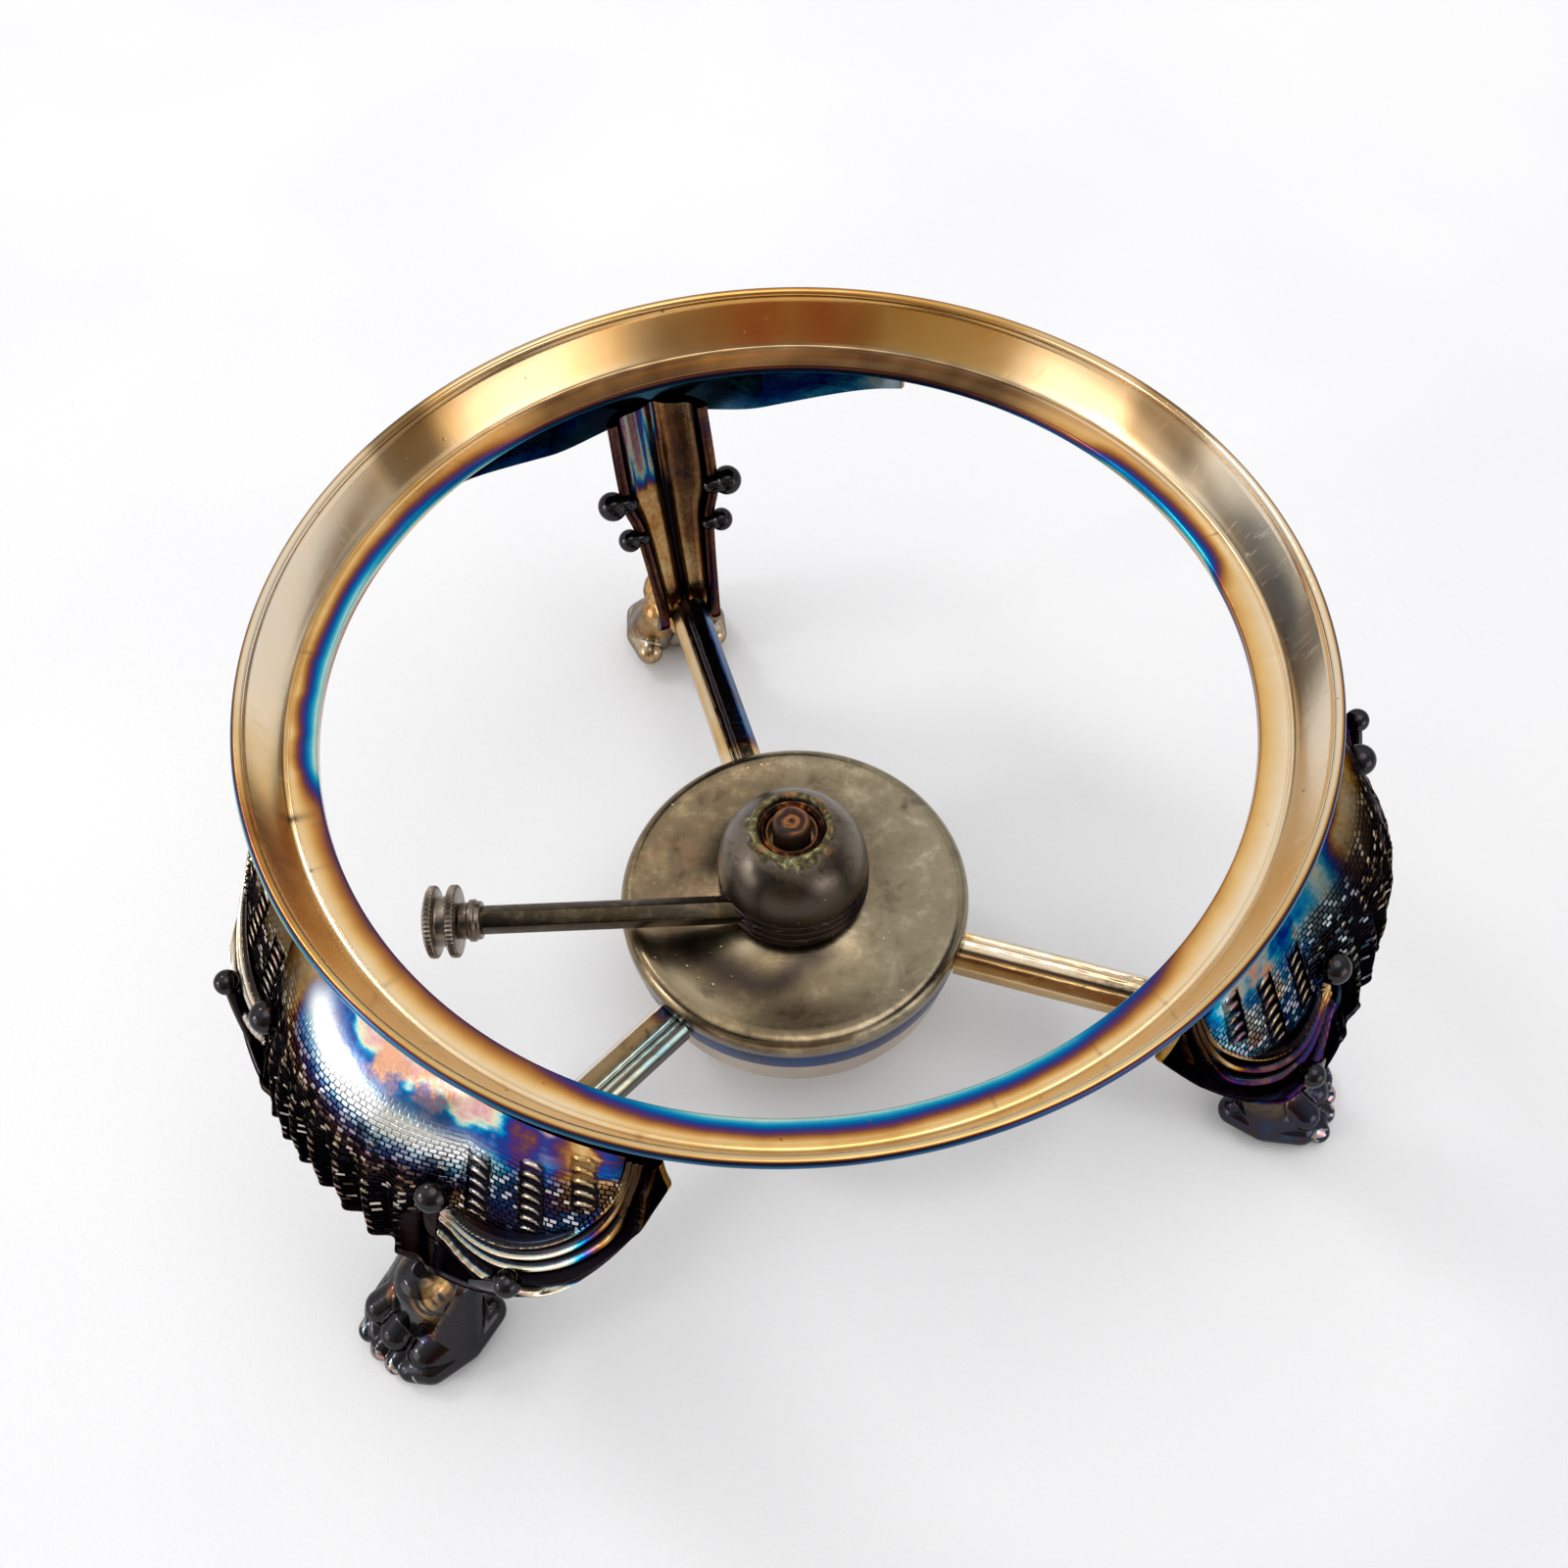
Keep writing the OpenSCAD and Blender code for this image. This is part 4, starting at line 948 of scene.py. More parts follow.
def make_ring():
    """Flat seat, soft crease, hollowed flare and rolled bead, turned as one sheet with slight dents."""
    crease = np.array([crease_r, crease_z])
    foot = crease + flare_out * ring_wall
    flare_run = 9.75
    flare_hollow = 0.16
    flare = np.array([
        crease + flare_dir * t + flare_out * flare_hollow * math.sin(math.pi * t / flare_run)
        for t in np.linspace(1.3, flare_run, 9)
    ])
    seat = rounded(
        [(seat_r, -seat_half_h, 0.15), (seat_r, seat_half_h - 0.05, 0.6), (crease_r - 1.3, 1.33, 0.3),
         (crease_r - 0.9, 1.46, 0.2), (crease_r - 0.3, 1.34, 0.25), (crease_r + 0.1, crease_z + 0.2, 0.5),
         (*(crease + flare_dir * 3), 0)], 6
    )[:-1]
    bead = arc(ring_r - bead_r, rim_z - bead_r, bead_r, 208, -38, 16)
    back = np.array([
        foot + flare_dir * 8.6, foot + flare_dir * 4, foot,
        (crease_r - 1, -0.4), (seat_r + 0.8, -seat_half_h),
    ])
    profile = np.concatenate([seat, flare, bead, back])
    form = Form()
    lathe(
        form, profile[::-1], 1080, ring_dents,
        film=ring_film, grime=ring_burns_and_painted_dark, warm=ring_warm, olive=ring_olive,
    )
    return form.piece("support_ring_plate", "stand", PLATE, ["support_ring"])


# ---- legs --------------------------------------------------------------------
seat_gap = 0.15
shell_top_z = crease_z + 1
# the middle lobe's share of the shell's half angle
LOBE = 0.42


def flare_back_r(z):
    """Radius of the flare's back at a height."""
    p = np.array([crease_r, crease_z]) + flare_out * ring_wall
    return p[0] + (z - p[1]) * flare_dir[0] / flare_dir[1]


shell_top = np.array([flare_back_r(shell_top_z) + seat_gap + shell_wall, shell_top_z])


def lobe_bulge(a):
    """How far the middle lobe swells, from 1 at its middle to 0 at its edge."""
    return np.where(a < LOBE, 1 - (a / LOBE) ** 2, 0.0)


def shell_grid(phi, v, depth=0.0):
    """Radius, height and outward normal of the shell; phi in degrees, v from ring to lip."""
    a = np.abs(phi) / shell_half_angle
    low_r = shell_reach - (shell_reach - ear_end_r) * a**ear_turn_in
    low_z = -shell_drop + lip_rise * lobe_bulge(a) ** 2 + (shell_drop - ear_end_drop) * a**ear_turn_up
    fall_r, fall_z = low_r - shell_top[0], low_z - shell_top[1]
    length = np.hypot(fall_r, fall_z)
    n_r, n_z = -fall_z / length, fall_r / length
    bulge = (ear_bulge + (shell_bulge - ear_bulge) * lobe_bulge(a)) * np.sin(np.pi * v**0.85)
    r = shell_top[0] + fall_r * v + n_r * (bulge - depth)
    z = shell_top[1] + fall_z * v + n_z * (bulge - depth)
    return np.maximum(r, flare_back_r(z) + seat_gap), z, n_r, n_z, length


def path_distance(x, y, path):
    """Distance from each point to a polyline, and the share of its length there."""
    best = np.full(x.shape, 1e9)
    share = np.zeros(x.shape)
    total = sum(math.dist(a, b) for a, b in zip(path[:-1], path[1:]))
    gone = 0.0
    for (ax, ay), (bx, by) in zip(path[:-1], path[1:]):
        seg = math.hypot(bx - ax, by - ay)
        t = np.clip(((x - ax) * (bx - ax) + (y - ay) * (by - ay)) / seg**2, 0, 1)
        d = np.hypot(x - ax - t * (bx - ax), y - ay - t * (by - ay))
        nearer = d < best
        best = np.where(nearer, d, best)
        share = np.where(nearer, (gone + t * seg) / total, share)
        gone += seg
    return best, share


def inside_path(x, y, path):
    """True where a point lies inside a closed outline."""
    inside = np.zeros(x.shape, bool)
    for (ax, ay), (bx, by) in zip(path, path[1:] + path[:1]):
        crosses = (ay > y) != (by > y)
        slope_x = ax + (y - ay) * (bx - ax) / (by - ay + 1e-12)
        inside ^= crosses & (x < slope_x)
    return inside


shell_middle_r = 103.0
# running length along the shell for one degree, at mid height
ARC_PER_DEG = shell_middle_r * math.pi / 180
# degrees from one flute of the middle lobe to the next
FLUTE_PITCH = 2 * LOBE * shell_half_angle / flute_count

# inner ridge of an ear's scroll, as (angle, share of the drop), from the ball round to the ring
SCROLL_LINE = (
    (12.6, 0.5), (12.9, 0.56), (14.0, 0.62), (16.5, 0.665), (20.0, 0.68), (23.5, 0.65), (26.2, 0.58),
    (28.2, 0.46), (29.2, 0.3), (29.7, 0.12), (29.9, 0.0),
)
# the ear's ridges, as (distance out from the inner one, height, width) in millimetres
EAR_RIDGES = ((0.0, 0.80, 0.50), (2.1, 0.90, 0.60), (4.4, 0.85, 0.66), (9.0, 1.0, 0.9))
# thin line that parts the ear from the leaf under the ball
LEAF_LINE = (
    (11.6, 0.56), (11.3, 0.64), (11.7, 0.72), (13.2, 0.8), (15.6, 0.88), (17.4, 0.97),
)
# stacks of hoops inside the ear, as (angle, share of the drop at the top, share at the foot)
EAR_STACKS = ((15.6, 0.22, 0.58), (21.0, 0.16, 0.60), (26.0, 0.06, 0.46))


def on_shell(spots, steps):
    """A smooth path through (angle, share) spots, in running millimetres."""
    path = spline_sections(np.array(spots, float), steps)
    length = shell_grid(path[:, 0], path[:, 1])[4]
    return [(float(x), float(y)) for x, y in zip(path[:, 0] * ARC_PER_DEG, path[:, 1] * length)]


def ear_scroll(side, v, x, t):
    """The ear's ridges, and where a point is inside and outside the inner one."""
    edge = on_shell(SCROLL_LINE, 5)
    closed = edge + [(edge[-1][0], -2.0), (edge[0][0], -2.0)]
    within = inside_path(x, t, closed)
    d, share = path_distance(x, t, edge)
    ear = ease((side - 12.4) / 0.5)
    outside = ear * ~within * ease((v - 0.50 + 0.7 * ease((side - 17) / 5)) / 0.03)
    spread = lerp(0.35, 1.0, ease(share / 0.30)) * lerp(1.0, 0.50, ease((share - 0.62) / 0.25))
    ridges = np.zeros(x.shape)
    reach = np.where(outside > 0.5, d, -d)
    for offset, high, width in EAR_RIDGES:
        ridges = ridges + high * bell(reach, offset * spread, width * lerp(0.7, 1.0, spread))
    ridges = np.clip(ridges, 0, 1.1) * ear * np.maximum(outside, bell(d, 0.0, 0.7))
    return ridges, within * ear, outside


def ear_leaf(side, v, x, t, outside):
    """The line between the ear and the leaf under its ball, and where the leaf lies."""
    d, share = path_distance(x, t, on_shell(LEAF_LINE, 4))
    line = bell(d, 0.0, 0.34) * ease(share / 0.08)
    leaf = ease((side - 8.6 - 6.0 * ease((0.72 - v) / 0.2)) / 0.8) * ease((v - 0.56) / 0.05)
    return line, leaf * (1 - outside * ease((d - 0.3) / 0.4))


def hoop_stacks(phi, v, x, middle, inside):
    """How much of a hoop a point may show, and its distance in millimetres from its stack's middle."""
    column = ((phi / FLUTE_PITCH + 0.5) % 1 - 0.5) * FLUTE_PITCH * ARC_PER_DEG * 2.1
    glint = 0.18 + 0.5 * ease((wave_noise(phi * 0.9, v * 26.0, 27) + 0.1) / 0.4)
    hoops = middle * ease((v - 0.30) / 0.06) * ease((0.99 - v) / 0.03) * glint
    for deg, top, foot in EAR_STACKS:
        across = x - (deg + 1.2 * (v - 0.35)) * ARC_PER_DEG
        here = (np.abs(across) < 2.3) * inside
        column = np.where(here, across * 0.92, column)
        hoops = np.where(here, ease((v - top) / 0.04) * ease((foot - v) / 0.04), hoops)
    return hoops, column


def shell_relief(phi, v, length):
    """Height, hollows darkened with soot and painted shade, ridges and the marks for rows and stacked hoops,
    all by place.
    """
    phi = phi + 0 * v
    side = np.abs(phi)
    x = side * ARC_PER_DEG
    t = v * length
    ridges, inside, outside = ear_scroll(side, v, x, t)
    leaf_line, leaf = ear_leaf(side, v, x, t, outside)
    a = side / shell_half_angle
    middle = ease((LOBE - a) / 0.05) * (1 - leaf)
    crest = np.cos(TURN * phi / FLUTE_PITCH)
    flutes = flute_depth * ease((v - 0.35) / 0.5) * ease((LOBE - a) / 0.08) * crest * (1 - 0.6 * leaf)
    hoops, column = hoop_stacks(phi, v, x, middle, inside)
    lip = 0.35 * ease((v - 0.972) / 0.02)
    height = flutes + ridges + 0.45 * leaf_line + lip + 0.30 * hoops * np.clip(1 - (column / 1.9) ** 2, 0, 1)
    rows = ease((v - 0.14) / 0.22) * (1 - outside) * (1 - leaf) * ease((0.99 - v) / 0.02)
    # hollows outside the ear's ridges, on the leaf under the ball and in the lower flutes' valleys are
    # darkened: soot and painted shade
    hollow_soot_and_shade = outside * ease((0.50 - ridges) / 0.30)
    hollow_soot_and_shade = np.maximum(hollow_soot_and_shade, leaf * (1 - leaf_line) * 0.95)
    hollow_soot_and_shade = np.maximum(hollow_soot_and_shade, middle * ease((v - 0.42) / 0.2) * ease((0.5 - crest) / 1.2) * 0.9)
    marks = {"chased": rows, "hoops": hoops, "column": column}
    return height, hollow_soot_and_shade, ridges, marks


# where the first leg's painted highlight streak runs, as (angle, share of the drop)
HIGHLIGHT_LINE = ((-12.0, 0.04), (-5.0, 0.08), (0.0, 0.17), (6.0, 0.23), (12.0, 0.25), (18.0, 0.24), (33.0, 0.30))


def bright_shell(phi, v, drift, patch):
    """The first leg: a painted highlight streak of pale metal under a rosy zone, blue round it and straw at
    the ends.
    """
    highlight_v = np.interp(phi, *zip(*HIGHLIGHT_LINE))
    run = (v + 0.015 * patch) / highlight_v
    ragged = run + 0.25 * patch + 0.2 * zone(phi, 4.0, -2.0)
    film = lerp(1.21 + 0.10 * patch, 0.74, zone(ragged, 0.26, 0.50))
    film = lerp(film, 0.92, zone(run, 0.70, 1.0))
    film = lerp(film, 0.72 + 0.25 * patch, zone(phi, 15.5, 19.0))
    film = lerp(film, 0.34 + 0.4 * zone(patch, 0.1, 0.6), zone(phi, 22.0, 25.5))
    blush = zone(patch, -0.05, 0.3) * zone(run, 0.85, 0.5) * zone(phi, 0.0, 4.0) * zone(phi, 26.0, 20.0)
    # painted highlight: pale metal in a band along the highlight line, with the soot taken off it
    bare = 1.3 * bell(v, highlight_v + 0.03, 0.065) * zone(phi, -9.0, -4.0) * zone(phi, 18.0, 13.0)
    bare = np.clip(bare, 0, 0.92)
    below = zone(v, highlight_v + 0.05, highlight_v + 0.40)
    film = lerp(film, 0.14 + 0.10 * drift, below * zone(phi, 20.0, 14.0))
    left = zone(phi, -5.0, -9.5)
    film = lerp(film, 0.20 + 0.12 * patch, left)
    soot = np.maximum(0.34 + 0.58 * below, 0.66 * left)
    soot = soot * zone(v, highlight_v - 0.03, highlight_v + 0.06)
    soot = np.maximum(soot, 0.62 * left + 0.2 * left * zone(v, 0.3, 0.6))
    soot = np.maximum(soot, 0.72 * zone(v, 0.20, 0.34) * zone(phi, 14.0, 17.0))
    soot = soot * (1 - bare)
    crest = 1.16 + 0.16 * drift - 0.98 * zone(phi, 9.0, 14.0)
    crest = np.where(phi > 14.0, 0.13 + 0.12 * drift + 0.14 * zone(phi, 22.0, 25.0), crest)
    ridge_film = lerp(1.24 - 0.10 * v, 0.30, zone(phi, 24.0, 29.0)) + 0.05 * drift
    ridge_film = lerp(ridge_film, 0.10 + 0.10 * patch, left)
    return film, crest, bare, soot, blush, ridge_film


def teal_shell(phi, v, drift, patch):
    """The second leg: straw and soot on one side, teal with an orange blush by the ear."""
    near_ear = zone(phi, -12.0, -15.0)
    film = lerp(1.04 + 0.06 * drift, 0.90 + 0.24 * patch, zone(phi, -8.0, -14.0))
    film = lerp(film, 0.25 + 0.06 * patch, zone(phi, -9.0, -3.0) * zone(v, 0.02, 0.12))
    blush = 0.9 * zone(patch, -0.1, 0.3) * near_ear * zone(phi, -27.0, -24.0)
    soot = 0.42 + 0.46 * zone(v, 0.08, 0.26)
    soot = lerp(soot, 0.42 + 0.25 * zone(v, 0.2, 0.5), near_ear) - 0.36 * zone(phi, -24.0, -28.0)
    crest = lerp(0.22 + 0.10 * drift, 1.30 + 0.1 * patch, zone(patch, 0.1, 0.4))
    crest = lerp(crest, 0.20, zone(phi, -12.0, -9.0))
    ridge_film = lerp(0.26, 0.60, zone(v, 0.60, 0.72)) + 0.05 * drift
    return film, crest, 0.0, soot, blush, ridge_film


def sooty_shell(phi, v, drift, patch):
    """The third leg, whose back shows: blue-brown under soot."""
    soot = 0.60 + 0.3 * zone(v, 0.3, 0.6)
    return 0.62 + 0.3 * drift, 0.25 + 0.1 * drift, 0.1, soot, 0.0, 0.3 + 0.1 * drift


SHELL_LOOKS = {"leg_1": bright_shell, "leg_2": teal_shell, "leg_3": sooty_shell}


def shell_marks(name, phi, v, ridges):
    """Film, crest film, pale metal with the first leg's painted highlight, soot and orange blush over a
    shell's face.
    """
    drift = 0.5 * wave_noise(phi * 0.22, v * 7.0, 21)
    patch = wave_noise(phi * 0.45, v * 13.0, 23)
    proud = np.clip(ridges, 0, 1)
    film, crest, bare, soot, blush, ridge_film = SHELL_LOOKS[name](phi, v, drift, patch)
    film = lerp(film, ridge_film, zone(proud, 0.25, 0.5))
    soot = soot * (1 - 0.85 * zone(proud, 0.3, 0.7))
    bare = bare * (1 - proud)
    blush = blush * (1 - proud)
    soot = np.maximum(soot, 0.88 * zone(np.abs(phi), 27.5, 30.0))
    return film, crest, np.clip(bare, 0, 1), np.clip(soot, 0, 1), np.clip(blush, 0, 1)


def add_rims(form, face, inner_lip, v):
    """Rounded rims along the shell's lip and down its two sides."""
    steps = np.linspace(0, 1, 6)[:, None, None]
    swell = np.sin(np.pi * steps) * 0.32
    down = np.array([0.25, 0.0, -1.0])
    band = lerp(face[-1][None], inner_lip[None], steps) + swell * down
    form.grid(band, flip=True, film=0.3, grime=0.25)
    for edge, sign in ((face[:, 0], 1), (face[:, -1], -1)):
        ang = math.radians(sign * -shell_half_angle)
        rs, zs, *_ = shell_grid(np.full(v.shape, -sign * shell_half_angle), v, shell_wall)
        back = np.stack([rs[:, 0] * math.cos(ang), rs[:, 0] * math.sin(ang), zs[:, 0]], 1)
        outward = np.array([-math.sin(ang), math.cos(ang), 0.0]) * -sign
        strip = lerp(edge[None], back[None], steps) + swell * outward
        form.grid(strip, flip=sign < 0, film=0.3, grime=0.3)


def make_shell(name):
    """Scalloped shell under the ring: the face with its relief, the plain inside, rims, balls and drops."""
    cols, lines = 460, 190
    inner_lines = 24
    face_sink = 0.55
    phi = np.linspace(-shell_half_angle, shell_half_angle, cols)[None, :]
    v = np.linspace(0, 1, lines)[:, None]
    r, z, n_r, n_z, length = shell_grid(phi, v)
    height, hollow_soot_and_shade, ridges, marks = shell_relief(phi, v, length)
    r = r + n_r * (height - face_sink)
    z = z + n_z * (height - face_sink)
    a = np.radians(phi)
    face = np.stack([r * np.cos(a), r * np.sin(a), z + 0 * a], 2)
    uv = np.stack([phi * ARC_PER_DEG + 0 * v, v * length + 0 * phi], 2)
    film, crest, bare, soot, blush = shell_marks(name, phi + 0 * v, v + 0 * phi, ridges)
    # the darkened hollows, soot and painted shade, join the soot
    soot = np.clip(np.maximum(soot, hollow_soot_and_shade * 0.97), 0, 1)
    form = Form()
    form.grid(face, flip=True, uv=uv, film=film, crest=crest, bare=bare, grime=soot, blush=blush, **marks)

    in_v = np.linspace(0, 1, inner_lines)[:, None]
    ri, zi, *_ = shell_grid(phi, in_v, shell_wall)
    inner = np.stack([ri * np.cos(a), ri * np.sin(a), zi + 0 * a], 2)
    pale = ease((np.abs(phi) - 24) / 8)
    in_film = 0.80 + 0.08 * in_v + 0.10 * pale + 0.05 * wave_noise(phi * 0.3, in_v * 9, 31)
    in_soot = 0.76 - 0.30 * pale - 0.16 * zone(in_v, 0.75, 0.98)
    form.grid(inner, film=in_film, bare=0.1 + 0.5 * pale + 0 * in_v, grime=in_soot)

    add_rims(form, face, inner[-1], v)
    for s in (-1, 1):
        ball_phi = np.array(s * ear_ball_angle)
        br, bz, *_ = shell_grid(ball_phi, np.array(ear_ball_share), -ear_ball_d * 0.1)
        ba = math.radians(s * ear_ball_angle)
        centre = (float(br) * math.cos(ba), float(br) * math.sin(ba), float(bz))
        form.ball(centre, ear_ball_d / 2, rings=20, sides=32, film=0.5, grime=0.93, gloss=0.5)
        add_drop(form, s)
    return form.piece(name + "_shell", "stand", CAST, [name], turned(leg_dirs[name]))


def add_drop(form, s):
    """A ball at the tip of a curled leaf under the ear."""
    root_phi = s * (drop_angle - 4)
    rr, rz, *_ = shell_grid(np.array(root_phi), np.array(0.97), shell_wall / 2)
    root = np.array([rr * math.cos(math.radians(root_phi)), rr * math.sin(math.radians(root_phi)), rz])
    da = math.radians(drop_angle)
    tip = np.array([drop_r * math.cos(da), s * drop_r * math.sin(da), -drop_depth])
    middle = lerp(root, tip, 0.6) - np.array([0, 0, 0.8])
    steps, sides = 14, 16
    rows = []
    for k in range(steps + 1):
        t = k / steps
        at = (1 - t) ** 2 * root + 2 * t * (1 - t) * (middle - [0, 0, 0.6]) + t * t * tip
        ahead = 2 * (1 - t) * (middle - root) + 2 * t * (tip - middle)
        ahead = ahead / np.linalg.norm(ahead)
        across = np.cross(ahead, [0, 0, 1.0])
        across = across / np.linalg.norm(across)
        over = np.cross(across, ahead)
        wide = lerp(1.5, 1.7, t) * (0.75 + 0.25 * math.sin(math.pi * t))
        ring = np.linspace(0, TURN, sides, endpoint=False)
        rows.append([at + across * wide * math.cos(q) * 0.7 + over * wide * math.sin(q) for q in ring])
    form.grid(np.array(rows), around=True, film=0.5, grime=0.9, gloss=0.5)
    form.ball(tip, drop_ball_d / 2, rings=18, sides=28, film=0.6, grime=0.95, gloss=0.5)


def make_shank(name):
    """Hollow-backed shank that narrows to the ankle, with two beads on each side."""
    lower_w = lerp(shank_top_w, ankle_w, 0.55) / 2
    ctrl = np.array([
        [shell_reach - 8, -shell_drop + 8, shank_top_w / 2, 7],
        [bead_upper[0], -bead_upper[1], lerp(shank_top_w, ankle_w, 0.1) / 2 + 0.4, 8.5],
        [bead_lower[0], -bead_lower[1], lower_w, 8],
        [ankle_r, -ankle_drop, ankle_w / 2, 7.5],
        [ankle_r + 2, paw_top - 3, ankle_w / 2 + 0.5, 9],
    ])
    sections = spline_sections(ctrl, 16)
    a = np.radians(np.linspace(-90, 90, 49))

    def rows(inset, crease):
        """The half-round sections, this far inside the shank's surface."""
        r = sections[:, None, 0] + (sections[:, None, 3] - inset) * np.cos(a)
        r = r + crease * (bell(a, 0.0, 0.16) - 0.55 * bell(np.abs(a), 0.5, 0.35))
        across = (sections[:, None, 2] - inset) * np.sin(a)
        return np.stack([r, across + 0 * r, sections[:, None, 1] + 0 * r], 2)

    form = Form()
    run = np.linspace(0, 1, len(sections))[:, None]
    outer = rows(0.1, -0.25)
    form.grid(outer, film=0.34 + 0.1 * wave_noise(run * 9, a, 41), grime=0.84, gloss=0.6)
    inner = rows(shank_wall, 1.1)
    inside_film = 0.29 + 0.08 * wave_noise(run * 8, a * 2, 43) + 0.10 * (1 - run)
    streak = ease((0.30 - run) / 0.12) * ease(wave_noise(a * 5 + 3, run * 5, 45) * 2)
    inside_film = inside_film + 0.85 * streak
    # painted shade in the shank's open back: a dark groove down its middle, darker sides, a darker right side
    # and a darker lower end
    groove = 0.75 * bell(a, 0.0, 0.13) * ease((run - 0.12) / 0.2)
    sides_dark = 0.8 * ease((np.abs(a) - 1.0) / 0.4)
    right_dark = 0.35 * ease(-a / 0.4) * ease((0.75 - run) / 0.3)
    low_dark = 0.85 * ease((run - 0.84) / 0.1)
    inside_soot_and_shade = 0.38 + 0.3 * streak + groove + sides_dark + low_dark + right_dark
    form.grid(inner, flip=True, film=inside_film, grime=np.clip(inside_soot_and_shade, 0, 1))
    steps = np.linspace(0, 1, 6)[:, None, None]
    swell = np.sin(np.pi * steps) * 0.35 * np.array([-1.0, 0, 0])
    for k, flip in ((0, True), (-1, False)):
        rim = lerp(outer[None, :, k], inner[None, :, k], steps) + swell
        form.grid(rim, flip=flip, film=0.5, grime=0.6)
    black = {"film": 0.5, "grime": 0.93, "gloss": 0.5}
    for (r, drop, d), side in (
        (bead_upper, shank_top_w / 2 + bead_upper[2] * 0.3),
        (bead_lower, ankle_w / 2 + bead_lower[2] * 0.62),
    ):
        for s in (-1, 1):
            form.ball((r, s * side, -drop), d / 2, rings=20, sides=32, **black)
            form.ball((r, s * (side - d * 0.42), -drop), d * 0.42, (0.9, 1.2, 0.8), **black)
    return form.piece(name + "_shank", "stand", CAST, [name], turned(leg_dirs[name]))


def chain(spots, count):
    """Balls along a path of (x, y, z, radius), count of them to a stretch."""
    out = []
    for a, b in zip(spots[:-1], spots[1:]):
        a, b = np.array(a, float), np.array(b, float)
        out += [lerp(a, b, k / count) for k in range(count)]
    out.append(np.array(spots[-1], float))
    return out


def fused(balls, voxel, smooth_passes):
    """One skin round a set of balls."""
    form = Form()
    for x, y, z, r in balls:
        form.ball((x, y, z), r, rings=10, sides=18)
    pts = np.concatenate(form.points) * METRE
    mesh = bpy.data.meshes.new("fused_balls")
    mesh.from_pydata(pts.tolist(), [], form.faces)
    obj = bpy.data.objects.new("fused_balls", mesh)
    bpy.context.scene.collection.objects.link(obj)
    remesh = obj.modifiers.new("skin", "REMESH")
    remesh.mode = "VOXEL"
    remesh.voxel_size = voxel * METRE
    relax = obj.modifiers.new("relax", "SMOOTH")
    relax.factor = 0.5
    relax.iterations = smooth_passes
    done = bpy.data.meshes.new_from_object(obj.evaluated_get(bpy.context.evaluated_depsgraph_get()))
    co = np.zeros(len(done.vertices) * 3)
    done.vertices.foreach_get("co", co)
    faces = [tuple(p.vertices) for p in done.polygons]
    bpy.data.objects.remove(obj)
    bpy.data.meshes.remove(mesh)
    bpy.data.meshes.remove(done)
    return co.reshape(-1, 3) / METRE, faces


# each leg's paw, as (darkness, change of film)
PAW_TONE = {"leg_1": (0.95, 0.0), "leg_2": (0.86, 0.16), "leg_3": (0.40, -0.34)}


def make_paw(name, skin):
    """Bronze instep, black knuckles and pink painted highlights on the claws, as one rounded casting."""
    pts, faces = skin
    out, side, z = pts.T
    patch = wave_noise(out * 0.9, side * 0.9 + z * 0.5, 51)
    up = z - floor_z
    back = paw_reach - out
    instep = zone(up, 10.0, 14.0) * zone(back, 9.0, 13.0)
    # painted highlights: pink patches on the claws' lower tips
    claws = zone(up, 7.0, 5.0) * zone(back, 7.5, 5.5) * zone(patch, 0.2, 0.45)
    film = lerp(0.52 + 0.2 * patch, 0.30 + 0.06 * patch, instep)
    streaks = bell(np.abs(side - paw_side), 5.4, 1.6) * zone(up, 8.0, 12.0) * zone(back, 8.0, 12.0)
    dark, shift = PAW_TONE[name]
    film = film + shift * (1 - instep)
    film = lerp(film, 1.22, claws)
    grime = dark - 0.80 * streaks * zone(patch, -0.6, 0.1) - 0.6 * claws
    form = Form()
    form.add(pts, faces, film=film, grime=np.clip(grime, 0, 1), gloss=0.5)
    return form.piece(name + "_paw", "stand", CAST, [name], turned(leg_dirs[name]))


